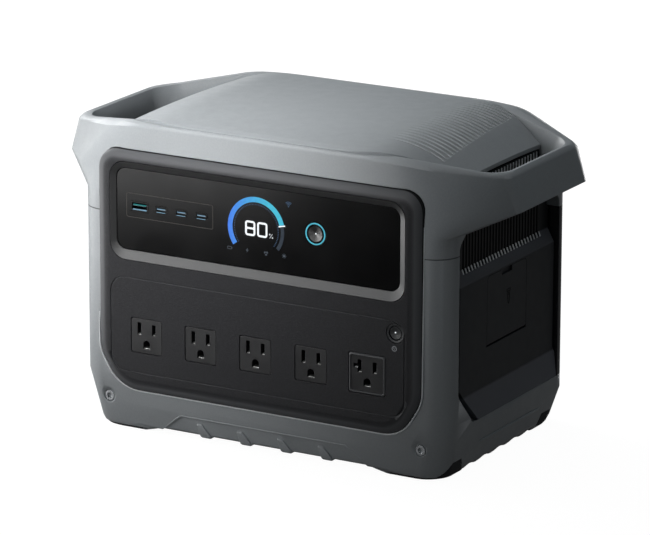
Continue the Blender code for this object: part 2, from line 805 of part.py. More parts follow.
def shoe(side, end, gap):
    """A corner foot: a sole under the bumper with an upstand into its side."""
    rear = HALF_DEPTH - SHOE_DEPTH - gap
    front = HALF_DEPTH - SHOE_UPSTAND_SETBACK
    high = SHOE_THICKNESS + SHOE_UPSTAND + gap
    slant = SHOE_UPSTAND + gap
    low = -gap
    reach = HALF_WIDTH + OVERSHOOT
    sole = [(rear, low), (HALF_DEPTH + OVERSHOOT, low), (HALF_DEPTH + OVERSHOOT, SHOE_THICKNESS + gap),
            (rear, SHOE_THICKNESS + gap)]
    heel = rear + SHOE_THICKNESS
    upstand = [(heel, SHOE_THICKNESS / 2), (front + gap, SHOE_THICKNESS / 2), (front + gap, SHOE_THICKNESS),
               (front + gap - slant, high), (heel + slant / 2, high), (heel, SHOE_THICKNESS)]
    inner = HALF_WIDTH - side_inset(SHOE_THICKNESS) - SHOE_UPSTAND_WALL - gap
    shapes = []
    for section, start in ((sole, SHOE_START - gap), (upstand, inner)):
        points = [(end * y, z) for y, z in section]
        shapes.append(extrude(points, "X", side * start, side * reach))
    return shapes


def screw_seat():
    """Depth of the screw head's seat behind the body face."""
    return HALF_DEPTH - SCREW_SINK - SCREW_HEAD_HEIGHT - SEAT_GAP


def screw_hole(side, end):
    """Dished recess, head bore and shank bore of one corner screw."""
    middle = (side * (HALF_WIDTH - SCREW_INSET), SCREW_HEIGHT)
    face = HALF_DEPTH - (front_inset if end < 0 else side_inset)(SCREW_HEIGHT)
    bore = SCREW_HEAD_RADIUS + FIT_GAP
    shank = SCREW_SHANK_RADIUS + FIT_GAP
    profile = [(SCREW_DISH_RADIUS + 0.5 * OVERSHOOT, face + 0.5 * OVERSHOOT),
               (SCREW_DISH_RADIUS, face), (bore, HALF_DEPTH - SCREW_SINK),
               (bore, screw_seat()), (shank, screw_seat()), (shank, HALF_DEPTH - OVERSHOOT)]
    return turned([(radius, end * level) for radius, level in profile], "Y", middle)


def lower_frame():
    """Bumper tub with the two lower front columns."""
    top = SEAM_HEIGHT - FIT_GAP / 2
    tub = piece("lower_frame", hull(top), "frame_grey")
    cavity = loft([body_loop(FRAME_WALL, FLOOR_TOP), body_loop(FRAME_WALL, top + OVERSHOOT)])
    far = HALF_DEPTH + OVERSHOOT
    corner = (-WINDOW_HALF, BUMPER_TOP + WINDOW_CORNER_RISE)
    behind = [corner, (-WINDOW_HALF + WINDOW_CORNER_RUN, BUMPER_TOP), (far, BUMPER_TOP),
              (far, top + OVERSHOOT), (-WINDOW_HALF, top + OVERSHOOT)]
    rounds = [WINDOW_RADIUS, WINDOW_RADIUS, 0, 0, 0]
    reach = HALF_WIDTH + OVERSHOOT
    cut(tub, cavity)
    cut(tub, extrude(outline(behind, rounds), "X", -reach, reach))
    cut(tub, front_opening())
    cut(tub, belly_cutter())
    cut(tub, wave_cutter(-1), wave_cutter(1))
    cut(tub, *strip_cutters(-1), *strip_cutters(1))
    cut(tub, strip_head(-1), strip_head(1))
    cut(tub, *[screw_hole(side, end) for side, end in corner_signs()])
    for side, end in corner_signs():
        for pocket in shoe(side, end, FIT_GAP):
            cut(tub, pocket)


def corner_name(side, end):
    return ("front" if end < 0 else "rear") + ("_left" if side < 0 else "_right")


def feet():
    """Rubber shoes under the bumper's four corners."""
    for side, end in corner_signs():
        sole, upstand = shoe(side, end, 0.0)
        foot = piece("foot_" + corner_name(side, end), sole, "rubber")
        fuse(foot, upstand)
        keep(foot, hull(SEAM_HEIGHT, SEAT_GAP))


def screws():
    """Socket-head screws in the dished corner recesses."""
    seat = screw_seat() + SEAT_GAP
    head = seat + SCREW_HEAD_HEIGHT
    for side, end in corner_signs():
        middle = (side * (HALF_WIDTH - SCREW_INSET), SCREW_HEIGHT)
        profile = [(SCREW_SHANK_RADIUS, seat - SCREW_SHANK_LENGTH), (SCREW_SHANK_RADIUS, seat),
                   (SCREW_HEAD_RADIUS, seat), (SCREW_HEAD_RADIUS, head - 0.2 * SCREW_HEAD_HEIGHT),
                   (0.9 * SCREW_HEAD_RADIUS, head)]
        shape = turned([(radius, end * level) for radius, level in profile], "Y", middle)
        screw = piece("frame_screw_" + corner_name(side, end), shape, "screw_steel")
        socket = [(SCREW_SOCKET_RADIUS, end * (head - SCREW_SOCKET_DEPTH)),
                  (SCREW_SOCKET_RADIUS, end * (head + SCREW_SOCKET_DEPTH))]
        cut(screw, turned(socket, "Y", middle, steps=6))


def cover_crown(y):
    """How far the cover falls from its middle towards its front and rear edges."""
    bow = COVER_CROWN * (y / COVER_HALF_DEPTH) ** 2
    edge = max(0.0, abs(y) - COVER_HALF_DEPTH + COVER_EDGE_RUN) / COVER_EDGE_RUN
    return bow + COVER_EDGE_DROP * edge ** 2


def cover_slope():
    return (COVER_TOP - COVER_END_HEIGHT) / (COVER_END - COVER_SHOULDER)


def cover_height(x):
    """Height of the cover's top along X in the middle of its depth."""
    start = COVER_SHOULDER - COVER_SHOULDER_RADIUS * math.tan(math.atan(cover_slope()) / 2)
    bend = max(0.0, min(abs(x), COVER_END) - start)
    turn = COVER_SHOULDER_RADIUS * math.sin(math.atan(cover_slope()))
    if bend < turn:
        return COVER_TOP - COVER_SHOULDER_RADIUS + math.sqrt(COVER_SHOULDER_RADIUS ** 2 - bend ** 2)
    return COVER_END_HEIGHT + (COVER_END - min(abs(x), COVER_END)) * cover_slope()


def cover_section(y):
    """The cover's cross-section: level top, rounded shoulders, slopes into the handles."""
    fall = cover_crown(y)
    under = COVER_THICKNESS
    slope = cover_slope()
    rise = under * math.hypot(1.0, slope)
    inner = COVER_SHOULDER - (rise - under) / slope
    corners = [
        (-COVER_END, COVER_END_HEIGHT - rise), (-inner, COVER_TOP - under),
        (inner, COVER_TOP - under), (COVER_END, COVER_END_HEIGHT - rise),
        (COVER_END, COVER_END_HEIGHT), (COVER_SHOULDER, COVER_TOP),
        (-COVER_SHOULDER, COVER_TOP), (-COVER_END, COVER_END_HEIGHT),
    ]
    big = COVER_SHOULDER_RADIUS
    radii = [0, big - under, big - under, 0, 0, big, big, 0]
    return [Vector((x, y, z - fall)) for x, z in outline(corners, radii, 2 * ARC_STEPS)]


def cover_plan():
    """The cover's plan: it ends at the louvres and follows the arms with a gap."""
    lip_depth = HALF_DEPTH - BEAM_WIDTH
    normal = Vector((LIP_SET_BACK, LIP_RUN)).normalized()
    level = normal.dot(Vector((BAR_INNER, lip_depth - LIP_SET_BACK))) - FIT_GAP
    end = COVER_END + FIT_GAP
    run = end - (level - normal.y * COVER_HALF_DEPTH) / normal.x
    back = COVER_HALF_DEPTH - (level - normal.x * end) / normal.y
    corners = plan_corners(end, COVER_HALF_DEPTH, run, back)
    return outline(corners, [CREST_RADIUS, CREST_RADIUS, 0, 0] * 2)


def top_cover():
    """Crowned cover between the beams, sloping down to the louvres on both sides."""
    edge = COVER_HALF_DEPTH + COVER_EDGE_RUN / 4
    stations = [-edge, -COVER_HALF_DEPTH + COVER_EDGE_RUN / 2, -COVER_HALF_DEPTH + COVER_EDGE_RUN,
                -0.6 * edge, -0.3 * edge, 0.0]
    stations += [-station for station in reversed(stations[:-1])]
    cover = piece("top_cover", loft([cover_section(y) for y in stations]), "frame_grey")
    keep(cover, extrude(cover_plan(), "Z", BAR_UNDERSIDE, COVER_TOP + OVERSHOOT))


def pillow(corners, radii_for, face, way, seat):
    """A panel with softly rounded edges, from its seat out to its face along Y."""
    loops = [[placed(point, "Y", seat) for point in outline(corners, radii_for(0.0))]]
    for step in range(PILLOW_STEPS + 1):
        angle = math.pi / 2 * step / PILLOW_STEPS
        inset = PANEL_SOFT_EDGE * (1 - math.cos(angle))
        level = face - way * PANEL_BULGE * (1 - math.sin(angle))
        points = outline(offset(corners, inset), radii_for(inset))
        loops.append([placed(point, "Y", level) for point in points])
    return loft(loops)


def outlet_places():
    """Centre and size of each outlet; the last one is the larger."""
    places = []
    for index in range(OUTLET_COUNT):
        x = (index - (OUTLET_COUNT - 1) / 2) * OUTLET_PITCH
        size = OUTLET_BIG_SIZE if index == OUTLET_COUNT - 1 else OUTLET_SIZE
        places.append((x, size))
    return places


def rim_corners():
    """Outer outline of the display rim, with a deeper ledge below the glass."""
    low = GLASS_MIDDLE - GLASS_HEIGHT / 2 - RIM_LEDGE
    high = GLASS_MIDDLE + GLASS_HEIGHT / 2 + RIM_SIDE
    return rectangle(GLASS_WIDTH + 2 * RIM_SIDE, high - low, (0.0, (high + low) / 2))


def glass_corners():
    return rectangle(GLASS_WIDTH, GLASS_HEIGHT, (0.0, GLASS_MIDDLE))


def front_panel():
    """Dark front panel with openings for the display, the outlets and the outlet button."""
    panel = piece("front_panel",
                  pillow(panel_corners(), panel_radii, FRONT_FACE, -1, -HALF_DEPTH + PANEL_SEAT),
                  "panel_dark")
    start = FRONT_FACE - OVERSHOOT
    end = -HALF_DEPTH + OVERSHOOT
    holes = [extrude(outline(offset(rim_corners(), -FIT_GAP), [RIM_RADIUS] * 4), "Y", start, end)]
    for x, size in outlet_places():
        corners = rectangle(size + 2 * FIT_GAP, size + 2 * FIT_GAP, (x, OUTLET_HEIGHT))
        holes.append(extrude(outline(corners, [OUTLET_RADIUS] * 4, 2), "Y", start, end))
    bore = AC_BEZEL_RADIUS + FIT_GAP
    holes.append(turned([(bore, start), (bore, end)], "Y", (AC_X, AC_HEIGHT)))
    cut(panel, *holes)


def rear_shell():
    """Black shell round the rear corners, between the bumper and the upper frame."""
    low = BUMPER_TOP + FIT_GAP
    high = SEAM_HEIGHT - FIT_GAP / 2
    wall = REAR_SHELL_WALL
    loops = [body_loop(0.0, low), body_loop(0.0, high), body_loop(wall, high), body_loop(wall, low)]
    shell = piece("rear_shell", loft(loops, ring=True), "side_black")
    reach = HALF_WIDTH + OVERSHOOT
    cut(shell, block((-reach, -HALF_DEPTH - OVERSHOOT, -OVERSHOOT),
                     (reach, WINDOW_HALF, high + OVERSHOOT)))
    cut(shell, rear_opening())


def rear_panel():
    """Dark rear panel with the sockets, the reset button and a vent."""
    panel = piece("rear_panel",
                  pillow(rear_corners(), lambda inset: [max(REAR_PANEL_RADIUS - inset, GLASS_RADIUS / 2)] * 4,
                         REAR_FACE, 1, HALF_DEPTH - PANEL_SEAT),
                  "panel_dark")
    start = HALF_DEPTH - OVERSHOOT
    end = REAR_FACE + OVERSHOOT
    holes = []
    for x, width, height in ((INLET_X, INLET_WIDTH, INLET_HEIGHT), (SOLAR_X, SOLAR_WIDTH, SOLAR_HEIGHT)):
        corners = rectangle(width + 2 * FIT_GAP, height + 2 * FIT_GAP, (x, REAR_PORT_HEIGHT))
        holes.append(extrude(outline(corners, [OUTLET_RADIUS] * 4, 2), "Y", start, end))
    bore = RESET_RADIUS + BUTTON_SLOT
    holes.append(turned([(bore, start), (bore, end)], "Y", (RESET_X, REAR_PORT_HEIGHT)))
    for index in range(VENT_COUNT):
        x = VENT_X + (index - (VENT_COUNT - 1) / 2) * VENT_PITCH
        holes.append(extrude(rectangle(VENT_SLOT, VENT_HEIGHT, (x, REAR_PORT_HEIGHT)), "Y", start, end))
    cut(panel, *holes)


# Display

def display_bezel():
    """Chamfered rim that steps down from the panel to the glass."""
    back = FRONT_FACE + RIM_DEPTH
    outer = outline(rim_corners(), [RIM_RADIUS] * 4)
    inner = outline(offset(glass_corners(), -FIT_GAP), [GLASS_RADIUS] * 4)
    loops = [[placed(point, "Y", FRONT_FACE) for point in outer],
             [placed(point, "Y", GLASS_FACE - FIT_GAP) for point in inner],
             [placed(point, "Y", back) for point in inner],
             [placed(point, "Y", back) for point in outer]]
    piece("display_bezel", loft(loops, ring=True), "gloss_black")


def usb_places():
    """Name, centre, width and height of each charging port."""
    places = [("usb_a_port", USB_A_X, USB_A_WIDTH, USB_A_HEIGHT)]
    for index in range(USB_C_COUNT):
        x = USB_C_FIRST_X + index * USB_C_PITCH
        places.append((f"usb_c_port_{index + 1}", x, USB_C_WIDTH, USB_C_HEIGHT))
    return places


def port_radius(name, height):
    return 0.48 * height if "_c_" in name else USB_WALL


def display_glass():
    """Black glass with holes for the ports and the power button."""
    glass = piece("display_glass",
                  extrude(outline(glass_corners(), [GLASS_RADIUS] * 4), "Y",
                          GLASS_FACE, GLASS_FACE + GLASS_THICKNESS), "gloss_black")
    start = GLASS_FACE - OVERSHOOT
    end = GLASS_FACE + OVERSHOOT
    holes = []
    for name, x, width, height in usb_places():
        corners = rectangle(width + 2 * FIT_GAP, height + 2 * FIT_GAP, (x, PORT_HEIGHT))
        holes.append(extrude(outline(corners, [port_radius(name, height)] * 4), "Y", start, end))
    bore = POWER_RING_RADIUS + FIT_GAP
    holes.append(turned([(bore, start), (bore, end)], "Y", (POWER_X, PORT_HEIGHT)))
    cut(glass, *holes)


def usb_ports():
    """Metal port shells with a contact tongue inside."""
    for name, x, width, height in usb_places():
        radius = port_radius(name, height)
        shell = rectangle(width, height, (x, PORT_HEIGHT))
        port = piece(name, extrude(outline(shell, [radius] * 4), "Y", GLASS_FACE, GLASS_FACE + USB_LENGTH),
                     "port_steel")
        mouth = offset(shell, USB_WALL)
        hollow = extrude(outline(mouth, [radius - USB_WALL / 2] * 4), "Y",
                         GLASS_FACE - USB_WALL, GLASS_FACE + USB_REACH)
        cut(port, hollow)
        lift = 0.0 if "_c_" in name else height / 8
        tongue = rectangle(0.78 * width, USB_TONGUE, (x, PORT_HEIGHT + lift))
        fuse(port, extrude(tongue, "Y", GLASS_FACE + USB_WALL, GLASS_FACE + USB_REACH + USB_WALL))


def display_inside():
    """The lit gauge behind the glass and the board that carries the ports."""
    start = GLASS_FACE + GLASS_THICKNESS + SEAT_GAP
    piece("gauge_display",
          extrude(rectangle(GAUGE_SIZE, GAUGE_SIZE, (0.0, GLASS_MIDDLE)), "Y", start, start + GAUGE_DEPTH),
          "gloss_black")
    board = rectangle(DISPLAY_BOARD_WIDTH, DISPLAY_BOARD_HEIGHT, (0.0, GLASS_MIDDLE))
    piece("display_board",
          extrude(board, "Y", DISPLAY_BOARD_FACE, DISPLAY_BOARD_FACE + BOARD_THICKNESS), "board_green")


# Buttons: each slides along Y in its ring and is held by a flange behind it

def button_ring(name, middle, face, outer, inner, finish_name):
    """A ring that guides a button; returns the level of its back face."""
    back = face + BUTTON_LENGTH
    profile = [(inner, face + SEAT_GAP), (outer, face), (outer, back), (inner, back)]
    piece(name, turned(profile, "Y", middle, ring=True), finish_name)
    return back


def button(name, middle, face, back, radius, way, finish_name):
    """A dished button with a retaining flange; way is the direction it is pushed."""
    flange = radius + BUTTON_FLANGE
    behind = back + way * SEAT_GAP
    end = behind + way * BUTTON_FLANGE_THICKNESS
    profile = [(0.35 * radius, face + way * BUTTON_DISH), (0.88 * radius, face),
               (radius, face + way * BUTTON_DISH), (radius, behind), (flange, behind), (flange, end)]
    piece(name, turned(profile, "Y", middle), finish_name, (middle[0], face, middle[1]))


def buttons():
    """Power, outlet and reset buttons."""
    power = (POWER_X, PORT_HEIGHT)
    back = button_ring("power_ring", power, GLASS_FACE, POWER_RING_RADIUS, POWER_RADIUS + BUTTON_SLOT,
                       "light_ring")
    button("power_button", power, GLASS_FACE, back, POWER_RADIUS, 1, "button_metal")
    outlets = (AC_X, AC_HEIGHT)
    face = FRONT_FACE + OUTLET_SINK
    back = button_ring("ac_button_bezel", outlets, face, AC_BEZEL_RADIUS, AC_RADIUS + BUTTON_SLOT,
                       "button_black")
    button("ac_button", outlets, face + BUTTON_DISH, back, AC_RADIUS, 1, "button_black")
    button("reset_button", (RESET_X, REAR_PORT_HEIGHT), REAR_FACE, HALF_DEPTH - PANEL_SEAT,
           RESET_RADIUS, -1, "button_black")


# Mains outlets

def outlet_slots(x, start, end, wide):
    """Two blade slots and a round-topped ground hole; the wide kind has a T-shaped neutral slot."""
    z = OUTLET_HEIGHT + BLADE_RISE
    left = x - BLADE_SPACING / 2
    half = BLADE_WIDTH / 2
    long = NEUTRAL_LENGTH / 2
    if wide:
        neutral = [(left - half, z - long), (left + half, z - long), (left + half, z + long),
                   (left - half, z + long), (left - half, z + half), (left - long, z + half),
                   (left - long, z - half), (left - half, z - half)]
    else:
        neutral = rectangle(BLADE_WIDTH, NEUTRAL_LENGTH, (left, z))
    live = rectangle(BLADE_WIDTH, LIVE_LENGTH, (x + BLADE_SPACING / 2, z))
    shapes = [extrude(corners, "Y", start, end) for corners in (neutral, live)]
    ground = rectangle(GROUND_WIDTH, GROUND_HEIGHT, (x, z - GROUND_DROP))
    round_top = [0, 0, GROUND_WIDTH / 2, GROUND_WIDTH / 2]
    shapes.append(extrude(outline(ground, round_top, 4), "Y", start, end))
    return shapes


def outlets():
    """Five outlets, and the board behind them."""
    face = FRONT_FACE + OUTLET_SINK
    back = face + OUTLET_LENGTH
    for index, (x, size) in enumerate(outlet_places()):
        corners = rectangle(size, size, (x, OUTLET_HEIGHT))
        outlet = piece(f"outlet_{index + 1}",
                       extrude(outline(corners, [OUTLET_RADIUS] * 4, 2), "Y", face, back), "outlet_black")
        cut(outlet, *outlet_slots(x, face - SLOT_DEPTH, face + SLOT_DEPTH, size == OUTLET_BIG_SIZE))
    width = (OUTLET_COUNT - 1) * OUTLET_PITCH + OUTLET_SIZE
    start = back + SEAT_GAP
    piece("outlet_board",
          extrude(rectangle(width, OUTLET_BOARD_HEIGHT, (0.0, OUTLET_HEIGHT)), "Y",
                  start, start + BOARD_THICKNESS), "board_green")


# Side panels

def side_top():
    """Top of the louvre wall, just under the cover's sloping end."""
    under = COVER_THICKNESS * math.hypot(1.0, cover_slope())
    return COVER_END_HEIGHT - under - cover_crown(LOUVRE_HALF) - FIT_GAP


def side_section():
    """The panel's cross-section, X outwards: louvre wall, toothed ledge, face, lower slope."""
    low = BUMPER_TOP + FIT_GAP
    return [(SIDE_INNER, low), (HALF_WIDTH - SIDE_FOOT_RECESS, low), (SIDE_FACE, SLOPE_HEIGHT),
            (SIDE_FACE, LEDGE_HEIGHT), (LOUVRE_FACE, TOOTH_HEIGHT), (LOUVRE_FACE, side_top() + OVERSHOOT),
            (SIDE_INNER, side_top() + OVERSHOOT)]


def side_outline():
    """The panel seen along X: it fills the window and narrows behind the handle."""
    half = WINDOW_HALF - FIT_GAP
    low = BUMPER_TOP + FIT_GAP
    slant = half - LOUVRE_HALF
    neck = WINDOW_SHOULDER - SEAT_GAP - FIT_GAP
    return [(-half + WINDOW_CORNER_RUN, low), (half, low), (half, neck - WINDOW_RADIUS),
            (LOUVRE_HALF, neck + 0.6 * slant), (LOUVRE_HALF, side_top()), (-LOUVRE_HALF, side_top()),
            (-LOUVRE_HALF, neck + 0.6 * slant), (-half, neck - WINDOW_RADIUS),
            (-half, low + WINDOW_CORNER_RISE)]


def side_grooves():
    """Outlines of the grooves between the raised panel and the front and rear columns."""
    corners = side_outline()
    inset = offset(corners, SIDE_GROOVE)
    low = corners[0][1]
    slant, bend, front_top = inset[0], inset[8], inset[7]
    share = (low - bend.y) / (slant.y - bend.y)
    foot = bend.lerp(slant, share)
    far = WINDOW_HALF + OVERSHOOT
    front = [(-far, front_top.y), (-far, low - OVERSHOOT), (foot.x, low - OVERSHOOT), foot, bend, front_top]
    edge = WINDOW_HALF - FIT_GAP - SIDE_REAR_GROOVE
    rear = [(far, corners[2][1]), (edge, corners[2][1]), (edge, SLOPE_HEIGHT + SIDE_REAR_GROOVE),
            (WINDOW_HALF, SLOPE_HEIGHT - SIDE_REAR_GROOVE), (far, SLOPE_HEIGHT - SIDE_REAR_GROOVE)]
    return front, rear


def side_panel(name, side):
    """One louvred side panel; side is +1 on the right."""
    section = [(side * x, z) for x, z in side_section()]
    reach = WINDOW_HALF + OVERSHOOT
    panel = piece(name, extrude(section, "Y", -reach, reach), "side_black")
    inner = side * (SIDE_INNER - OVERSHOOT)
    outer = side * (HALF_WIDTH + OVERSHOOT)
    rounds = [WINDOW_RADIUS] + [0] * 7 + [WINDOW_RADIUS]
    keep(panel, extrude(outline(side_outline(), rounds), "X", inner, outer))
    low = TOOTH_HEIGHT - TOOTH_DEPTH
    high = side_top() - LOUVRE_MARGIN
    slots = []
    for index in range(LOUVRE_COUNT):
        y = (index - (LOUVRE_COUNT - 1) / 2) * LOUVRE_PITCH
        slot = rectangle(LOUVRE_SLOT, high - low, (y, (high + low) / 2))
        slots.append(extrude(slot, "X", inner, outer))
    cut(panel, *slots)
    floor = side * (SIDE_INNER + SIDE_FLANGE)
    cut(panel, *[extrude(points, "X", floor, outer) for points in side_grooves()])
    return panel


def port_pocket(panel):
    """Pocket, socket hole and pin holes for the flap in the right panel."""
    low = FLAP_AXIS_Z - FLAP_THICKNESS / 2 - FLAP_CLEARANCE
    high = FLAP_TOP + FIT_GAP
    pocket = rectangle(FLAP_WIDTH + 2 * FIT_GAP, high - low, (0.0, (high + low) / 2))
    round_top = [0, 0, FLAP_RADIUS + FIT_GAP, FLAP_RADIUS + FIT_GAP]
    cut(panel, extrude(outline(pocket, round_top), "X", POCKET_FLOOR, HALF_WIDTH + OVERSHOOT))
    bore = SOCKET_RADIUS + FIT_GAP
    cut(panel, turned([(bore, SIDE_INNER - OVERSHOOT), (bore, HALF_WIDTH)], "X", (0.0, SOCKET_HEIGHT)))
    cut(panel, pin_shape(PIN_RADIUS + PIN_FIT, PIN_ENGAGEMENT + FIT_GAP))


def pin_shape(radius, engagement):
    """A rod along the flap's hinge axis that reaches past both flap ends."""
    half = FLAP_WIDTH / 2 + engagement
    loops = []
    for y in (-half, half):
        loop = []
        for step in range(SMALL_ROUND_STEPS):
            angle = math.tau * step / SMALL_ROUND_STEPS
            x = FLAP_AXIS_X + radius * math.cos(angle)
            loop.append(Vector((x, y, FLAP_AXIS_Z + radius * math.sin(angle))))
        loops.append(loop)
    return loft(loops)


def flap():
    """Port flap with a round lower edge about its hinge pin, and a finger notch on top."""
    half = FLAP_THICKNESS / 2
    profile = [(FLAP_AXIS_X + half, FLAP_TOP), (FLAP_AXIS_X - half, FLAP_TOP)]
    for step in range(ARC_STEPS + 1):
        angle = math.pi + math.pi * step / ARC_STEPS
        profile.append((FLAP_AXIS_X + half * math.cos(angle), FLAP_AXIS_Z + half * math.sin(angle)))
    shape = loft([[Vector((x, y, z)) for x, z in profile] for y in (-FLAP_WIDTH / 2, FLAP_WIDTH / 2)])
    door = piece("port_flap", shape, "side_black", (FLAP_AXIS_X, 0.0, FLAP_AXIS_Z))
    corners = rectangle(FLAP_WIDTH, FLAP_HEIGHT, (0.0, FLAP_TOP - FLAP_HEIGHT / 2))
    rounds = [FLAP_LOW_RADIUS, FLAP_LOW_RADIUS, FLAP_RADIUS, FLAP_RADIUS]
    keep(door, extrude(outline(corners, rounds), "X", POCKET_FLOOR - OVERSHOOT, SIDE_FACE + OVERSHOOT))
    cut(door, pin_shape(PIN_RADIUS + PIN_FIT, PIN_ENGAGEMENT))
    notch = FLAP_NOTCH / 2
    cut(door, block((FLAP_AXIS_X, -notch, FLAP_TOP - notch / 2),
                    (SIDE_FACE + OVERSHOOT, notch, FLAP_TOP + OVERSHOOT)))
    piece("flap_hinge_pin", pin_shape(PIN_RADIUS, PIN_ENGAGEMENT), "screw_steel")


def car_socket():
    """Round socket behind the flap, flanged against the inside of the panel."""
    flange = SIDE_INNER - SEAT_GAP
    back = flange - SOCKET_FLANGE_THICKNESS
    wide = SOCKET_RADIUS + SOCKET_FLANGE
    profile = [(SOCKET_BORE, SOCKET_END + SOCKET_BASE), (SOCKET_BORE, SOCKET_MOUTH),
               (SOCKET_RADIUS, SOCKET_MOUTH), (SOCKET_RADIUS, flange), (wide, flange), (wide, back),
               (SOCKET_RADIUS, back), (SOCKET_RADIUS, SOCKET_END)]
    piece("car_socket", turned(profile, "X", (0.0, SOCKET_HEIGHT)), "outlet_black")


# Rear sockets

def rear_sockets():
    """Recessed mains inlet with three pins, and a two-pole solar inlet."""
    face = REAR_FACE - OUTLET_SINK
    back = face - REAR_PORT_LENGTH
    corners = rectangle(INLET_WIDTH, INLET_HEIGHT, (INLET_X, REAR_PORT_HEIGHT))
    inlet = piece("ac_inlet", extrude(outline(corners, [OUTLET_RADIUS] * 4, 2), "Y", back, face),
                  "outlet_black")
    bottom = face - INLET_REACH
    cut(inlet, extrude(offset(corners, INLET_WALL), "Y", bottom, face + OVERSHOOT))
    pins = []
    for shift, lift in ((-INLET_PIN_SPACING / 2, -1), (0.0, 1), (INLET_PIN_SPACING / 2, -1)):
        middle = (INLET_X + shift, REAR_PORT_HEIGHT + INLET_PIN_RISE + lift * INLET_PIN_HEIGHT / 4)
        pin = rectangle(INLET_PIN_WIDTH, INLET_PIN_HEIGHT, middle)
        pins.append(extrude(pin, "Y", bottom - INLET_WALL, bottom + INLET_PIN_LENGTH))
    fuse(inlet, *pins)
    corners = rectangle(SOLAR_WIDTH, SOLAR_HEIGHT, (SOLAR_X, REAR_PORT_HEIGHT))
    solar = piece("solar_inlet", extrude(outline(corners, [OUTLET_RADIUS] * 4, 2), "Y", back, face),
                  "outlet_black")
    poles = []
    for way in (-1, 1):
        middle = (SOLAR_X + way * SOLAR_PIN_SPACING / 2, REAR_PORT_HEIGHT)
        profile = [(SOLAR_PIN_RADIUS, bottom), (SOLAR_PIN_RADIUS, face + OVERSHOOT)]
        poles.append(turned(profile, "Y", middle, steps=SMALL_ROUND_STEPS))
    cut(solar, *poles)


# Battery

def battery():
    """A tray of upright cells under a lid, with the protection board on top."""
    floor = FLOOR_TOP + SEAT_GAP
    depth = CELL_DEPTH + 2 * SEAT_GAP + 2 * TRAY_WALL
    tray = piece("battery_tray", block((-TRAY_WIDTH / 2, -depth / 2, floor),
                                       (TRAY_WIDTH / 2, depth / 2, floor + TRAY_RIM)), "tray_plastic")
    inner = (TRAY_WIDTH / 2 - TRAY_WALL, depth / 2 - TRAY_WALL)
    cut(tray, block((-inner[0], -inner[1], floor + TRAY_WALL), (inner[0], inner[1], floor + 2 * TRAY_RIM)))
    pitch = CELL_THICKNESS + SEAT_GAP
    for index in range(CELL_COUNT):
        x = (index - (CELL_COUNT - 1) / 2) * pitch
        half = CELL_THICKNESS / 2
        cell = piece(f"battery_cell_{index + 1}",
                     block((x - half, -CELL_DEPTH / 2, CELL_BOTTOM), (x + half, CELL_DEPTH / 2, CELL_TOP)),
                     "cell_wrap")
        poles = []
        for way in (-1, 1):
            middle = (x, way * (CELL_DEPTH / 2 - CELL_TERMINAL_INSET))
            levels = [(CELL_TERMINAL_RADIUS, CELL_TOP - CELL_TERMINAL_HEIGHT),
                      (CELL_TERMINAL_RADIUS, CELL_TOP + CELL_TERMINAL_HEIGHT)]
            poles.append(turned(levels, "Z", middle, steps=SMALL_ROUND_STEPS))
        fuse(cell, *poles)
    piece("battery_lid", block((-TRAY_WIDTH / 2, -depth / 2, LID_BOTTOM),
                               (TRAY_WIDTH / 2, depth / 2, LID_TOP)), "tray_plastic")
    board = LID_TOP + SEAT_GAP
    piece("bms_board", block((-BMS_WIDTH / 2, -BMS_DEPTH / 2, board),
                             (BMS_WIDTH / 2, BMS_DEPTH / 2, board + BOARD_THICKNESS)), "board_green")


# Inverter

def inverter():
    """A decked tray on four legs with the power board, a heat sink and a transformer."""
    half_x, half_y = INVERTER_WIDTH / 2, INVERTER_DEPTH / 2
    top = INVERTER_DECK + DECK_THICKNESS
    deck = piece("inverter_tray", block((-half_x, -half_y, INVERTER_DECK), (half_x, half_y, top)),
                 "tray_plastic")
    legs = []
    for side, end in corner_signs():
        x, y = side * (half_x - LEG_SIZE), end * (half_y - LEG_SIZE)
        legs.append(block((x - LEG_SIZE / 2, y - LEG_SIZE / 2, LID_TOP + SEAT_GAP),
                          (x + LEG_SIZE / 2, y + LEG_SIZE / 2, INVERTER_DECK + DECK_THICKNESS / 2)))
    fuse(deck, *legs)
    board = top + SEAT_GAP
    piece("inverter_board", block((-half_x, -half_y, board), (half_x, half_y, board + BOARD_THICKNESS)),
          "board_green")
    seat = board + BOARD_THICKNESS + SEAT_GAP
    half = SINK_DEPTH / 2
    sink = piece("heat_sink", block((SINK_X - SINK_WIDTH / 2, -half, seat),
                                    (SINK_X + SINK_WIDTH / 2, half, seat + SINK_BASE)), "sink_metal")
    fins = []
    pitch = (SINK_WIDTH - SINK_FIN_THICKNESS) / (SINK_FIN_COUNT - 1)
    inside = 2 * SEAT_GAP
    for index in range(SINK_FIN_COUNT):
        x = SINK_X - (SINK_WIDTH - SINK_FIN_THICKNESS) / 2 + index * pitch
        fins.append(block((x - SINK_FIN_THICKNESS / 2 + inside / 4, -half + inside, seat + SINK_BASE / 2),
                          (x + SINK_FIN_THICKNESS / 2 - inside / 4, half - inside,
                           seat + SINK_BASE + SINK_FIN_HEIGHT)))
    fuse(sink, *fins)
    coil_half_x, coil_half_y = COIL_WIDTH / 2, COIL_DEPTH / 2
    coil = piece("transformer", block((COIL_X - coil_half_x, -coil_half_y, seat),
                                      (COIL_X + coil_half_x, coil_half_y, seat + COIL_HEIGHT)), "coil_core")
    window = COIL_CORE
    middle = seat + COIL_HEIGHT / 2
    cut(coil, block((COIL_X - window / 2, -coil_half_y - OVERSHOOT, middle - window / 2),
                    (COIL_X + window / 2, coil_half_y + OVERSHOOT, middle + window / 2)))


# Cooling fans behind the louvres

def fan_height():
    return (TOOTH_HEIGHT + side_top()) / 2


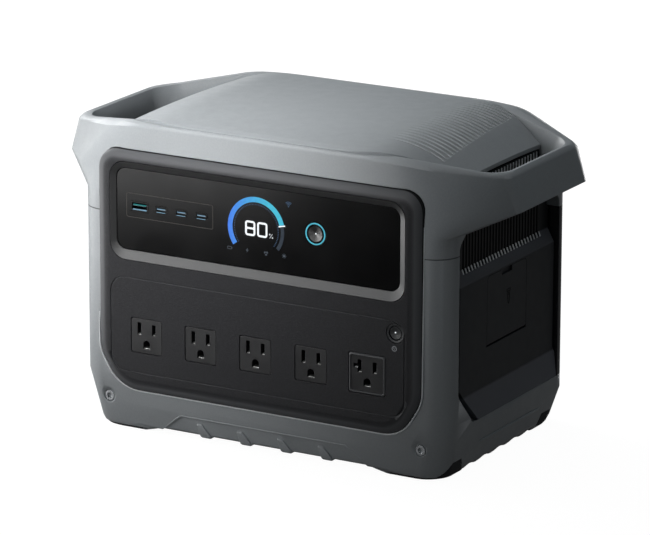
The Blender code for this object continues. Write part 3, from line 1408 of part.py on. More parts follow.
def fan_frame(name, side):
    """Square fan housing with a spider and stub shaft on its inner side."""
    outer = SIDE_INNER - SEAT_GAP
    inner = outer - FAN_DEPTH
    z = fan_height()
    corners = rectangle(FAN_SIZE, FAN_SIZE, (0.0, z))
    frame = piece(name, extrude(corners, "X", side * inner, side * outer), "outlet_black")
    bore = [(FAN_BORE_RADIUS, side * (inner - OVERSHOOT)), (FAN_BORE_RADIUS, side * (outer + OVERSHOOT))]
    cut(frame, turned(bore, "X", (0.0, z)))
    reach = FAN_BORE_RADIUS + (FAN_SIZE / 2 - FAN_BORE_RADIUS) / 2
    wide = FAN_SPOKE_WIDTH / 2
    inset = FAN_SPIDER / 10
    cross = [(reach, wide), (wide, wide), (wide, reach), (-wide, reach), (-wide, wide), (-reach, wide),
             (-reach, -wide), (-wide, -wide), (-wide, -reach), (wide, -reach), (wide, -wide), (reach, -wide)]
    spokes = extrude([(u, z + v) for u, v in cross], "X", side * (inner + inset), side * (inner + FAN_SPIDER))
    fuse(frame, spokes)
    shaft = [(FAN_SHAFT_RADIUS, side * (inner + FAN_SPIDER / 2)),
             (FAN_SHAFT_RADIUS, side * (inner + FAN_SPIDER + FAN_SHAFT_LENGTH))]
    fuse(frame, turned(shaft, "X", (0.0, z), steps=16))


def fan_rotor(name, side):
    """Hub with a blind bore on the stub shaft, and pitched blades."""
    inner = SIDE_INNER - SEAT_GAP - FAN_DEPTH
    z = fan_height()
    start = inner + FAN_SPIDER + FAN_RUNNING_GAP
    end = start + FAN_HUB_LENGTH
    bore = FAN_SHAFT_RADIUS + FAN_BORE_FIT
    bottom = inner + FAN_SPIDER + FAN_SHAFT_LENGTH + FAN_RUNNING_GAP
    profile = [(bore, side * bottom), (bore, side * start), (FAN_HUB_RADIUS, side * start),
               (FAN_HUB_RADIUS, side * end)]
    middle = side * (start + end) / 2
    rotor = piece(name, turned(profile, "X", (0.0, z)), "outlet_black", (middle, 0.0, z))
    angles = [math.tau * index / FAN_BLADE_COUNT for index in range(FAN_BLADE_COUNT)]
    fuse(rotor, *[fan_blade(middle, z, angle) for angle in angles])


def fan_blade(x, z, angle):
    """One flat blade set at the pitch angle, rooted inside the hub."""
    radial = Vector((0.0, math.cos(angle), math.sin(angle)))
    tangent = Vector((0.0, -math.sin(angle), math.cos(angle)))
    chord = Vector((1.0, 0.0, 0.0)) * math.sin(FAN_BLADE_ANGLE) + tangent * math.cos(FAN_BLADE_ANGLE)
    face = chord.cross(radial).normalized() * FAN_BLADE_THICKNESS / 2
    centre = Vector((x, 0.0, z))
    tip = FAN_BORE_RADIUS - FAN_BLADE_TIP_GAP
    loops = []
    for radius, half in ((0.85 * FAN_HUB_RADIUS, 0.4 * FAN_HUB_RADIUS), (tip, 0.31 * tip)):
        middle = centre + radial * radius
        loops.append([middle - chord * half - face, middle + chord * half - face,
                      middle + chord * half + face, middle - chord * half + face])
    return loft(loops)


def main():
    """Build every piece in place."""
    for item in list(bpy.data.objects):
        bpy.data.objects.remove(item)
    upper_frame()
    lower_frame()
    feet()
    screws()
    top_cover()
    front_panel()
    rear_shell()
    rear_panel()
    display_bezel()
    display_glass()
    usb_ports()
    display_inside()
    buttons()
    outlets()
    side_panel("left_side_panel", -1)
    port_pocket(side_panel("right_side_panel", 1))
    flap()
    car_socket()
    rear_sockets()
    battery()
    inverter()
    for name, side in (("left", -1), ("right", 1)):
        fan_frame("fan_frame_" + name, side)
        fan_rotor("fan_rotor_" + name, side)
    for item in bpy.data.objects:
        item.data.shade_smooth()
        item.data.set_sharp_from_angle(angle=SMOOTH_ANGLE)


main()
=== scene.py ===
"""Looks of a portable power station: finishes, fine details, studio and camera.

Metres, +Z up, front towards -Y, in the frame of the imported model.
"""
import math

import bmesh
import bpy
from mathutils import Matrix, Vector
from mathutils.bvhtree import BVHTree

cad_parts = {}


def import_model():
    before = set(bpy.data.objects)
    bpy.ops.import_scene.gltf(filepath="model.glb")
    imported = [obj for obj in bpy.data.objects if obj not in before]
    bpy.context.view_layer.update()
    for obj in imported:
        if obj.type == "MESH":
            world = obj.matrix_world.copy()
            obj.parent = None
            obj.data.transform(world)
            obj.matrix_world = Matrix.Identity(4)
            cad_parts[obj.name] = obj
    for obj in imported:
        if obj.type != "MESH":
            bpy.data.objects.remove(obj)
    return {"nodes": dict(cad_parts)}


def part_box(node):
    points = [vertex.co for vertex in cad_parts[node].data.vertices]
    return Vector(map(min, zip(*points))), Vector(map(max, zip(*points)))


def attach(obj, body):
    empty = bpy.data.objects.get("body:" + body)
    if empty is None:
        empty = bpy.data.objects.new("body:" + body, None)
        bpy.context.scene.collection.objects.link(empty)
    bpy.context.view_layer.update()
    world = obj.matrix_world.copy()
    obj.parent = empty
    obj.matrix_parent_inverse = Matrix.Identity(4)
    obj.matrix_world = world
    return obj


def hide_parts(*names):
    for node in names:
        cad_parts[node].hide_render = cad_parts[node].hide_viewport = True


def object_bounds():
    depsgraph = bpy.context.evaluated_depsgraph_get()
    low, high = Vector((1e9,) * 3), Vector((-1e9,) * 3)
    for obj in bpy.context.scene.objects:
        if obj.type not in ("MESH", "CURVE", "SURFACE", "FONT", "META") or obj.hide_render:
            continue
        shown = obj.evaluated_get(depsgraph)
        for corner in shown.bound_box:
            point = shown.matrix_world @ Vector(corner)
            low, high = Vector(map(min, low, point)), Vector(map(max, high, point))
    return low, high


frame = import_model()
CAD_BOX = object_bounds()

MM = 0.001

# Camera, from the photograph's vanishing points
IMAGE_WIDTH = 650
FOCAL_PIXELS = 4545.14
SENSOR_WIDTH = 36.0
CAMERA_PLACE = (1.63994, -2.86641, 1.05842)
CAMERA_TURN = math.radians(29.7786)
CAMERA_PITCH = math.radians(15.8439)
CAMERA_ROLL = math.radians(0.1097)
CLIP_END = 100.0

# Shared surface values
SOFT_ANGLE = math.radians(33.0)
WELD = 0.01 * MM
EDGE_RADIUS = 0.7 * MM
PRINT_THICKNESS = 0.16 * MM
PRINT_SINK = 0.04 * MM
SPECKLE_SIZE = 1.3 * MM
SCUFF_SIZE = 4 * MM
PATCH_SIZE = 9 * MM
CLOUD_SIZE = 26 * MM
# Lighter edges: part rubbed wear, part painted edge highlight
RUB_AND_HIGHLIGHT_RADIUS = 0.9 * MM
BRUSH_GRAIN = 0.25 * MM
RUBBED_AND_HIGHLIGHT = 1.9
NOISE_LOW = 0.3
NOISE_HIGH = 0.7
GLOW_ROUGHNESS = 0.4
GLOW_SPECULAR = 0.08
FACE_WEIGHT = 60

# Colours are linear
GREY = (0.268, 0.285, 0.297)
PANEL = (0.0068, 0.0070, 0.0090)
# Border painted lighter than the panel, as a sheen
BORDER_PAINTED_SHEEN = (0.078, 0.080, 0.085)
SIDE = (0.0145, 0.0150, 0.0168)
OUTLET = (0.009, 0.009, 0.010)
BEZEL = (0.0075, 0.0077, 0.0082)
# Painted shade in the gap round the panel's border
GAP_PAINTED_SHADE = (0.002, 0.002, 0.002)
# Painted shade in the set-back louvres
LOUVRE_PAINTED_SHADE = (0.0012, 0.0012, 0.0014)
CYAN = (0.075, 0.400, 0.520)
BLUE = (0.055, 0.190, 0.780)
ARC_CYAN = (0.055, 0.480, 0.640)
WHITE_GLOW = (0.85, 0.90, 0.93)
PLAIN_WHITE = (1.0, 1.0, 1.0, 1.0)


def middle_of(low, high):
    """The middle of a box, seen from the front."""
    return (low.x + high.x) / 2, (low.z + high.z) / 2


# Places taken from the frame
GLASS_LOW, GLASS_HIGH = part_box("display_glass")
GLASS_FACE = GLASS_LOW.y
PANEL_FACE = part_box("front_panel")[0].y
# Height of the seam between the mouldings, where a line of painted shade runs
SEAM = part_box("lower_frame")[1].z
SEAM_HALF = 0.3 * MM
COVER_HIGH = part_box("top_cover")[1]
FLAP_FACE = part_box("port_flap")[1].x
AC_LOW, AC_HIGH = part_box("ac_button")
AC_X, AC_Z = middle_of(AC_LOW, AC_HIGH)
POWER_LOW, POWER_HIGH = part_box("power_button")
POWER_X, POWER_Z = middle_of(POWER_LOW, POWER_HIGH)


class Nodes:
    """A node tree, with short calls for the nodes that materials and the world share."""

    def __init__(self, tree):
        self.tree = tree

    def node(self, kind, **settings):
        made = self.tree.nodes.new(kind)
        for key, value in settings.items():
            setattr(made, key, value)
        return made

    def feed(self, node, inputs):
        """Links sockets, and sets plain values, on a node's inputs."""
        for key, value in inputs.items():
            if isinstance(value, bpy.types.NodeSocket):
                self.tree.links.new(value, node.inputs[key])
            else:
                node.inputs[key].default_value = value

    def remap(self, value, low, high, start=0.0, end=1.0):
        """The value's start to end as low to high, held at both ends."""
        node = self.node("ShaderNodeMapRange")
        self.feed(node, {0: value, 1: start, 2: end, 3: low, 4: high})
        return node.outputs[0]

    def mix(self, factor, first, second):
        node = self.node("ShaderNodeMix", data_type="RGBA")
        self.feed(node, {0: factor, 6: first, 7: second})
        return node.outputs[2]

    def maths(self, operation, *values):
        node = self.node("ShaderNodeMath", operation=operation)
        self.feed(node, dict(enumerate(values)))
        return node.outputs[0]


class Shader(Nodes):
    """One material's nodes, with the patterns that the finishes share."""

    def __init__(self, name):
        self.material = bpy.data.materials.new(name)
        self.material.use_nodes = True
        super().__init__(self.material.node_tree)
        self.surface = self.tree.nodes["Principled BSDF"]
        self.places = self.node("ShaderNodeTexCoord").outputs["Object"]

    def noise(self, size, detail=2.0, stretch=(1.0, 1.0, 1.0)):
        """Noise with blotches of about the given size in metres."""
        mapping = self.node("ShaderNodeMapping")
        self.feed(mapping, {"Vector": self.places, "Scale": stretch})
        noise = self.node("ShaderNodeTexNoise")
        self.feed(noise, {"Vector": mapping.outputs[0], "Scale": 1.0 / size, "Detail": detail})
        return noise.outputs[0]

    def spread(self, noise, low, high):
        """The usual range of a noise as low to high."""
        return self.remap(noise, low, high, NOISE_LOW, NOISE_HIGH)

    def axis(self, index):
        """One coordinate of the object's own space, in metres."""
        split = self.node("ShaderNodeSeparateXYZ")
        self.feed(split, {0: self.places})
        return split.outputs[index]

    def round_normal(self, radius):
        """A normal that rounds the edges by the given radius."""
        node = self.node("ShaderNodeBevel", samples=6)
        self.feed(node, {"Radius": radius})
        return node.outputs[0]

    def edges(self, radius):
        """Near 1 along convex and concave edges, 0 on open surface."""
        dot = self.node("ShaderNodeVectorMath", operation="DOT_PRODUCT")
        true_normal = self.node("ShaderNodeNewGeometry").outputs["Normal"]
        self.feed(dot, {0: self.round_normal(radius), 1: true_normal})
        return self.remap(dot.outputs["Value"], 1.0, 0.0, 0.80, 0.99)

    def bump(self, height, depth, normal):
        node = self.node("ShaderNodeBump")
        self.feed(node, {"Height": height, "Distance": depth, "Strength": 1.0, "Normal": normal})
        return node.outputs[0]

    def finish(self, tone, gloss, normal, specular=0.5, metallic=0.0):
        """Feeds the surface, and hands back the material."""
        self.feed(self.surface, {"Base Color": tone, "Roughness": gloss, "Normal": normal,
                                 "Specular IOR Level": specular, "Metallic": metallic})
        return self.material

    def two_tone(self, pattern, tones, gloss, relief, depth, radius=0.3 * MM, **more):
        """A finish between two tones and two roughnesses along a pattern, with a fine relief."""
        normal = self.bump(relief, depth, self.round_normal(radius))
        return self.finish(self.mix(pattern, *tones), self.remap(pattern, *gloss), normal, **more)

    def glow(self, base, colour, level):
        """Feeds a surface that shines by itself, and hands back the material."""
        self.feed(self.surface, {"Base Color": base, "Roughness": GLOW_ROUGHNESS,
                                 "Specular IOR Level": GLOW_SPECULAR,
                                 "Emission Color": colour, "Emission Strength": level})
        return self.material


def opaque(colour, factor=1.0):
    return (*[min(1.0, channel * factor) for channel in colour], 1.0)


def moulded(name, colour, roughness, specular=0.3, grain=0.5 * MM, depth=0.02 * MM, mottle=0.10,
            wear_and_highlight=0.25, radius=EDGE_RADIUS, patches=0.06, shade=None):
    """Moulded plastic: fine grain, slight mottling, uneven gloss, and edges painted lighter, partly as
    rubbed wear and partly as painted edge highlights.
    """
    shader = Shader(name)
    cloud = shader.noise(CLOUD_SIZE, 3.0)
    tone = shader.mix(cloud, opaque(colour, 1 - mottle / 2), opaque(colour, 1 + mottle / 2))
    specks = shader.spread(shader.noise(SPECKLE_SIZE, 1.0), 0.0, 1.0)
    tone = shader.mix(specks, tone, shader.mix(0.55, tone, opaque(colour, 1 + 2 * mottle)))
    # Edges painted lighter: part rubbed wear, part painted highlight along the edges
    scuffs = shader.remap(shader.noise(SCUFF_SIZE, 4.0), 0.25, 1.0, 0.35, 0.75)
    rubbed_and_highlight = shader.maths("MULTIPLY", shader.edges(RUB_AND_HIGHLIGHT_RADIUS), scuffs)
    rubbed_and_highlight = shader.maths("MULTIPLY", rubbed_and_highlight, wear_and_highlight)
    tone = shader.mix(rubbed_and_highlight, tone, opaque(colour, RUBBED_AND_HIGHLIGHT))
    if shade:
        tone = shade(shader, tone)
    gloss = shader.spread(shader.noise(PATCH_SIZE, 4.0), roughness - patches, roughness + patches)
    normal = shader.bump(shader.noise(grain, 2.0), depth, shader.round_normal(radius))
    return shader.finish(tone, gloss, normal, specular)


def seam_painted_shade(shader, tone):
    """Painted shade: a dark line where the two frame mouldings meet on the columns, standing in for the
    shadow in the gap between them.
    """
    away = shader.maths("ABSOLUTE", shader.maths("SUBTRACT", shader.axis(2), SEAM))
    seam = shader.remap(away, 1.0, 0.0, SEAM_HALF, 2 * SEAM_HALF)
    return shader.mix(seam, tone, opaque(GREY, 0.2))


# Depths behind the panel's face
BORDER_START = 0.1 * MM
BORDER_FULL = 0.8 * MM
GAP_START = 4.3 * MM
GAP_FULL = 4.5 * MM
# Grain of the panel
PANEL_CELL = 1.1 * MM


def panel_plastic(name):
    """Grained dark plastic with a smooth satin border painted lighter as a sheen, and painted shade: black
    where the border dives into its gap.
    """
    shader = Shader(name)
    depth = shader.axis(1)
    border = shader.remap(depth, 0.0, 1.0, PANEL_FACE + BORDER_START, PANEL_FACE + BORDER_FULL)
    # Painted shade: black where the border dives into its gap
    gap_shade = shader.remap(depth, 0.0, 1.0, PANEL_FACE + GAP_START, PANEL_FACE + GAP_FULL)
    cloud = shader.mix(shader.noise(30 * MM, 3.0), opaque(PANEL, 0.92), opaque(PANEL, 1.08))
    cells = shader.node("ShaderNodeTexVoronoi")
    shader.feed(cells, {"Vector": shader.places, "Scale": 1.0 / PANEL_CELL})
    grain = shader.maths("MULTIPLY", cells.outputs["Distance"], shader.noise(2 * PANEL_CELL, 3.0))
    grain = shader.remap(grain, 0.0, 1.0, 0.10, 0.42)
    pit = shader.mix(0.55, cloud, opaque(PANEL, 0.70))
    peak = shader.mix(0.6, cloud, opaque(PANEL, 1.45))
    # Painted sheen: the border's tone is painted far lighter than the panel's; its smoother gloss is real
    tone = shader.mix(border, shader.mix(grain, pit, peak), opaque(BORDER_PAINTED_SHEEN))
    tone = shader.mix(gap_shade, tone, opaque(GAP_PAINTED_SHADE))
    satin = shader.remap(shader.noise(PATCH_SIZE), 0.48, 0.54)
    gloss = shader.mix(border, shader.remap(grain, 0.62, 0.48), satin)
    height = shader.mix(border, grain, shader.remap(shader.noise(0.4 * MM), 0.4, 0.6))
    normal = shader.bump(height, 0.06 * MM, shader.round_normal(0.5 * MM))
    return shader.finish(tone, gloss, normal, 0.19)


def gloss_glass(name):
    """Black glass: smooth, with faint smudges in its gloss."""
    shader = Shader(name)
    smudge = shader.noise(22 * MM, 5.0)
    tones = ((0.0014, 0.0014, 0.0016, 1.0), (0.0022, 0.0022, 0.0024, 1.0))
    gloss = (0.20, 0.26, 0.35, 0.7)
    return shader.two_tone(smudge, tones, gloss, shader.noise(60 * MM, 1.0), 0.02 * MM, specular=0.08)


def brushed(name, colour, roughness, stretch=(1.0, 1.0, 1.0)):
    """Worked metal with fine scratches, drawn out where it is stretched, and uneven gloss."""
    shader = Shader(name)
    lines = shader.noise(BRUSH_GRAIN, 3.0, stretch)
    tones = (opaque(colour, 0.82), opaque(colour, 1.12))
    gloss = (roughness - 0.08, roughness + 0.10, NOISE_LOW, NOISE_HIGH)
    return shader.two_tone(lines, tones, gloss, lines, 0.012 * MM, metallic=1.0)


def rubber(name):
    """Soft matt rubber with a coarse grain and dusty patches."""
    shader = Shader(name)
    dust = shader.remap(shader.noise(7 * MM, 4.0), 0.0, 1.0, 0.35, 0.75)
    tones = ((0.012, 0.012, 0.013, 1.0), (0.024, 0.024, 0.025, 1.0))
    grain = shader.noise(0.8 * MM, 3.0)
    return shader.two_tone(dust, tones, (0.72, 0.92), grain, 0.05 * MM, EDGE_RADIUS, specular=0.25)


def circuit_board(name):
    """Green laminate with a faint weave and lighter tracks."""
    shader = Shader(name)
    weave = shader.node("ShaderNodeTexChecker")
    shader.feed(weave, {"Vector": shader.places, "Scale": 1.0 / (0.9 * MM),
                        "Color1": (0.010, 0.082, 0.036, 1.0), "Color2": (0.013, 0.098, 0.043, 1.0)})
    tracks = shader.remap(shader.noise(5 * MM, 0.0, (1.0, 1.0, 0.2)), 0.0, 1.0, 0.52, 0.54)
    tones = (weave.outputs[0], (0.022, 0.150, 0.066, 1.0))
    return shader.two_tone(tracks, tones, (0.50, 0.35), tracks, 0.03 * MM, 0.2 * MM)


def wound_copper(name):
    """Enamelled copper wire: fine turns across the coil's length."""
    shader = Shader(name)
    wave = shader.node("ShaderNodeTexWave")
    shader.feed(wave, {"Vector": shader.places, "Scale": 90.0, "Distortion": 0.4})
    turns = wave.outputs["Fac"]
    tones = ((0.160, 0.052, 0.016, 1.0), (0.420, 0.160, 0.050, 1.0))
    return shader.two_tone(turns, tones, (0.55, 0.32), turns, 0.2 * MM, metallic=0.6)


def lit(name, colour, strength=1.0, unevenness=0.15):
    """A glowing mark or light guide, a little uneven over its length; it also serves painted highlights
    that glow though they are no lamp.
    """
    shader = Shader(name)
    glow = shader.spread(shader.noise(4 * MM, 1.0), 1 - unevenness, 1 + unevenness)
    base = shader.mix(glow, opaque(colour, 0.10), opaque(colour, 0.20))
    return shader.glow(base, opaque(colour), shader.maths("MULTIPLY", glow, strength))


def lit_arc(name, start, end):
    """The gauge's lit arc: blue at its start on the left, turning cyan towards the right."""
    shader = Shader(name)
    along = shader.remap(shader.axis(0), 0.0, 1.0, start, end)
    glow = shader.spread(shader.noise(3 * MM, 1.0), 0.92, 1.05)
    shade = shader.mix(along, opaque(BLUE), opaque(ARC_CYAN))
    return shader.glow((0.01, 0.02, 0.04, 1.0), shade, glow)


SIDE_SATIN = {"roughness": 0.56, "specular": 0.2, "grain": 0.6 * MM, "mottle": 0.08, "wear_and_highlight": 0.5,
              "patches": 0.02}
FINISHES = {
    "frame_grey": moulded("finish_frame", GREY, 0.46, specular=0.5, mottle=0.06, wear_and_highlight=0.20,
                          shade=seam_painted_shade),
    "panel_dark": panel_plastic("finish_panel"),
    "side_black": moulded("finish_side", SIDE, **SIDE_SATIN),
    "gloss_black": gloss_glass("finish_glass"),
    "outlet_black": moulded("finish_outlet", OUTLET, 0.42, specular=0.28, mottle=0.20, wear_and_highlight=0.9),
    "light_ring": lit("finish_ring", CYAN, 1.0),
    "button_metal": brushed("finish_button", (0.42, 0.46, 0.49), 0.30),
    "button_black": moulded("finish_button_black", (0.020, 0.021, 0.023), 0.40, wear_and_highlight=0.8),
    "port_steel": brushed("finish_port", (0.06, 0.07, 0.08), 0.36),
    "screw_steel": brushed("finish_screw", (0.30, 0.31, 0.32), 0.34),
    "rubber": rubber("finish_rubber"),
    "cell_wrap": moulded("finish_cell", (0.030, 0.110, 0.320), 0.40, grain=3 * MM, wear_and_highlight=0.1),
    "tray_plastic": moulded("finish_tray", (0.060, 0.062, 0.066), 0.60),
    "board_green": circuit_board("finish_board"),
    "sink_metal": brushed("finish_sink", (0.52, 0.53, 0.54), 0.38, stretch=(1.0, 0.05, 1.0)),
    "coil_core": wound_copper("finish_coil"),
}


def soft_shading():
    """Modifier nodes that weld a mesh, then smooth it across all but its sharp edges."""
    tree = bpy.data.node_groups.new("soft_shading", "GeometryNodeTree")
    for way in ("INPUT", "OUTPUT"):
        tree.interface.new_socket("Geometry", in_out=way, socket_type="NodeSocketGeometry")
    nodes = Nodes(tree)
    plain = nodes.node("GeometryNodeRemoveAttribute")
    nodes.feed(plain, {"Name": "custom_normal"})
    weld = nodes.node("GeometryNodeMergeByDistance")
    nodes.feed(weld, {"Distance": WELD})
    angle = nodes.node("GeometryNodeInputMeshEdgeAngle")
    shallow = nodes.node("FunctionNodeCompare", operation="LESS_THAN")
    nodes.feed(shallow, {0: angle.outputs[0], 1: SOFT_ANGLE})
    faces = nodes.node("GeometryNodeSetShadeSmooth")
    edges = nodes.node("GeometryNodeSetShadeSmooth", domain="EDGE")
    nodes.feed(edges, {"Shade Smooth": shallow.outputs[0]})
    chain = [nodes.node("NodeGroupInput"), plain, weld, faces, edges, nodes.node("NodeGroupOutput")]
    for before, after in zip(chain, chain[1:]):
        nodes.feed(after, {0: before.outputs[0]})
    return tree


SOFT_SHADING = soft_shading()


def even_normals(item):
    """Lets wide faces keep their flat shading beside rounded ones."""
    step = item.modifiers.new("even_normals", "WEIGHTED_NORMAL")
    step.keep_sharp = True
    step.weight = FACE_WEIGHT


def dress(name, finish=None):
    """Gives a CAD node its finish and soft shading."""
    node = frame["nodes"][name]
    slot = node.material_slots[0].material.name.split(".")[0]
    node.material_slots[0].material = finish or FINISHES[slot]
    node.modifiers.new("soft_shading", "NODES").node_group = SOFT_SHADING
    even_normals(node)


def new_object(name, data):
    """A new object in the scene."""
    made = bpy.data.objects.new(name, data)
    bpy.context.scene.collection.objects.link(made)
    return made


def piece(name, shape, finish=None, body="housing", slot="frame_grey", origin=(0.0, 0.0, 0.0)):
    """A new object from a bmesh, riding on a body; without a finish it takes its slot's."""
    bmesh.ops.remove_doubles(shape, verts=shape.verts, dist=WELD)
    bmesh.ops.recalc_face_normals(shape, faces=shape.faces)
    shape.transform(Matrix.Translation(-Vector(origin)))
    mesh = bpy.data.meshes.new(name)
    shape.to_mesh(mesh)
    shape.free()
    mesh.shade_smooth()
    mesh.set_sharp_from_angle(angle=SOFT_ANGLE)
    made = new_object(name, mesh)
    made.location = origin
    mesh.materials.append(finish or FINISHES[slot])
    bpy.context.view_layer.update()
    even_normals(made)
    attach(made, body)
    return made


# Flat outlines, in the plane of the face they sit on

def arc(middle, radius, start, end, steps):
    """Points of an arc; angles in degrees, counter-clockwise from the first axis."""
    points = []
    for step in range(steps + 1):
        angle = math.radians(start + (end - start) * step / steps)
        points.append((middle[0] + radius * math.cos(angle), middle[1] + radius * math.sin(angle)))
    return points


def circle(middle, radius, steps=32):
    return arc(middle, radius, 0.0, 360.0 - 360.0 / steps, steps - 1)


def band(middle, inner, outer, start, end, steps=24):
    """A bent strip between two radii."""
    return arc(middle, outer, start, end, steps) + arc(middle, inner, end, start, steps)


def rounded(middle, width, height, radius, steps=6):
    """A rectangle with round corners."""
    points = []
    for quarter, (side, level) in enumerate(((1, 1), (-1, 1), (-1, -1), (1, -1))):
        centre = (middle[0] + side * (width / 2 - radius), middle[1] + level * (height / 2 - radius))
        points += arc(centre, radius, 90.0 * quarter, 90.0 * (quarter + 1), steps)
    return points


def bar(start, end, width):
    """A straight strip between two points."""
    along = (Vector(end) - Vector(start)).normalized()
    across = Vector((-along.y, along.x)) * width / 2
    ends = (Vector(start) + across, Vector(start) - across, Vector(end) - across, Vector(end) + across)
    return [tuple(point) for point in ends]


def frame_line(middle, width, height, radius, line):
    """A rounded rectangle as a thin line: its outer outline, then its hole."""
    return [rounded(middle, width, height, radius),
            rounded(middle, width - 2 * line, height - 2 * line, radius - line)]


def front_place(point, level):
    return Vector((point[0], level, point[1]))


def side_place(point, level):
    return Vector((level, point[0], point[1]))


def plates(shapes, start, end, place=front_place):
    """Solid plates between two levels; each shape is an outline with its holes after it."""
    sheets = []
    for loops in shapes:
        sheet = bmesh.new()
        for loop in loops:
            corners = [sheet.verts.new(place(point, start)) for point in loop]
            for index, corner in enumerate(corners):
                sheet.edges.new((corners[index - 1], corner))
        bmesh.ops.triangle_fill(sheet, edges=sheet.edges, use_beauty=True, use_dissolve=False)
        raised = bmesh.ops.extrude_face_region(sheet, geom=sheet.faces[:])
        moved = [item for item in raised["geom"] if isinstance(item, bmesh.types.BMVert)]
        shift = place((0.0, 0.0), end) - place((0.0, 0.0), start)
        bmesh.ops.translate(sheet, verts=moved, vec=shift)
        sheets.append(sheet)
    return merged(sheets)


def printed(name, shapes, finish=None, slot="gloss_black", level=GLASS_FACE):
    """Thin marks on the front of a surface, sunk a little into it."""
    back = level + PRINT_SINK
    piece(name, plates(shapes, back, back - PRINT_THICKNESS), finish, slot=slot)


def skin(loops, ring=False):
    """A closed skin over a stack of loops; a ring joins the last loop to the first."""
    shape = bmesh.new()
    rows = [[shape.verts.new(point) for point in loop] for loop in loops]
    pairs = list(zip(rows, rows[1:]))
    if ring:
        pairs.append((rows[-1], rows[0]))
    for low, high in pairs:
        for index in range(len(low)):
            shape.faces.new((low[index - 1], low[index], high[index], high[index - 1]))
    if not ring:
        shape.faces.new(rows[0])
        shape.faces.new(rows[-1])
    return shape


TURN_SIDES = 48


def turned(profile, middle):
    """A solid of revolution about Y from (radius, level) pairs."""
    loops = []
    for radius, level in profile:
        loops.append([front_place(point, level) for point in circle(middle, radius, TURN_SIDES)])
    return skin(loops)


BEAD_SIDES = 8
BEAD_TIP = 0.35


def bead(path, radius, ahead=(0.0, -1.0, 0.0)):
    """A round bead along a path that lies in a plane facing ahead, thinning out at both ends."""
    loops = []
    last = len(path) - 1
    for index, point in enumerate(path):
        along = (path[min(index + 1, last)] - path[max(index - 1, 0)]).normalized()
        across = along.cross(Vector(ahead)).normalized()
        other = across.cross(along)
        size = radius * (BEAD_TIP if index in (0, last) else 1.0)
        loop = []
        for step in range(BEAD_SIDES):
            angle = math.tau * step / BEAD_SIDES
            loop.append(point + (across * math.cos(angle) + other * math.sin(angle)) * size)
        loops.append(loop)
    return skin(loops)


def merged(shapes):
    """Several shapes as one mesh."""
    total = bmesh.new()
    for shape in shapes:
        spare = bpy.data.meshes.new("spare")
        bmesh.ops.recalc_face_normals(shape, faces=shape.faces)
        shape.to_mesh(spare)
        shape.free()
        total.from_mesh(spare)
        bpy.data.meshes.remove(spare)
    return total


# Rays start well outside the part
REACH = 0.3
TREES = {}


def land(name, start, way):
    """Where a ray first meets a CAD node's surface."""
    if name not in TREES:
        TREES[name] = BVHTree.FromBMesh(node_shape(name))
    return TREES[name].ray_cast(Vector(start), Vector(way))[0]


def front_land(name, x, z):
    """Where a ray from the front first meets a CAD node."""
    return land(name, (x, -REACH, z), (0.0, 1.0, 0.0))


def side_land(name, way, y, z, start=REACH):
    """Where a ray from one side first meets a CAD node."""
    return land(name, (way * start, y, z), (-way, 0.0, 0.0))


# Gauge on the display
GAUGE_DROP = 0.6 * MM
GAUGE_MIDDLE = (0.0, (GLASS_LOW.z + GLASS_HIGH.z) / 2 - GAUGE_DROP)
GAUGE_INNER = 20.3 * MM
GAUGE_OUTER = 24.3 * MM
GAUGE_START = 216.0
GAUGE_POINTER = 13.0
GAUGE_END = -36.0
ARC_GAP = 1.5
REST_GAP = 2.5
REST_INSET = 0.6 * MM
POINTER_REACH = 0.8 * MM
POINTER_WIDTH = 0.9 * MM
TICK_COUNT = 64
TICK_INNER = 18.3 * MM
TICK_OUTER = 19.1 * MM
TICK_WIDTH = 0.35 * MM
DIGIT_WIDTH = 8.7 * MM
DIGIT_HEIGHT = 11.4 * MM
DIGIT_STROKE = 1.5 * MM
DIGIT_SPACING = 10.3 * MM
DIGIT_CORNER = 2.2 * MM
HOLE_CORNER = 0.8 * MM
PERCENT_RIGHT = 12.6 * MM
PERCENT_DROP = 3.7 * MM
PERCENT_HALF = 1.15 * MM
PERCENT_DOT = 0.6 * MM
PERCENT_LINE = 0.4 * MM


def ray(middle, angle, inner, outer, width):
    """A short strip that points away from a middle."""
    ends = [arc(middle, radius, angle, angle, 1)[0] for radius in (inner, outer)]
    return bar(ends[0], ends[1], width)


def gauge():
    """Lit arc, pointer, tick ring and the number in the middle of the display."""
    whole = band(GAUGE_MIDDLE, GAUGE_INNER, GAUGE_OUTER, GAUGE_START, GAUGE_POINTER + ARC_GAP, 72)
    shades = lit_arc("finish_arc", -GAUGE_OUTER, 0.4 * GAUGE_OUTER)
    printed("gauge_arc", [[whole]], shades, "light_ring")
    radii = (GAUGE_INNER + REST_INSET, GAUGE_OUTER - REST_INSET)
    rest = band(GAUGE_MIDDLE, *radii, GAUGE_POINTER - REST_GAP, GAUGE_END, 18)
    printed("gauge_rest", [[rest]], lit("finish_rest", (0.030, 0.040, 0.055), 0.8), "light_ring")
    radii = (GAUGE_INNER - POINTER_REACH, GAUGE_OUTER + POINTER_REACH)
    pointer = ray(GAUGE_MIDDLE, GAUGE_POINTER, *radii, POINTER_WIDTH)
    printed("gauge_pointer", [[pointer]], lit("finish_pointer", WHITE_GLOW, 1.0), "light_ring")
    ticks = []
    for index in range(TICK_COUNT):
        angle = GAUGE_START + (GAUGE_END - GAUGE_START) * index / (TICK_COUNT - 1)
        ticks.append([ray(GAUGE_MIDDLE, angle, TICK_INNER, TICK_OUTER, TICK_WIDTH)])
    printed("gauge_ticks", ticks, lit("finish_ticks", (0.060, 0.105, 0.190), 0.9), "light_ring")
    gauge_number()


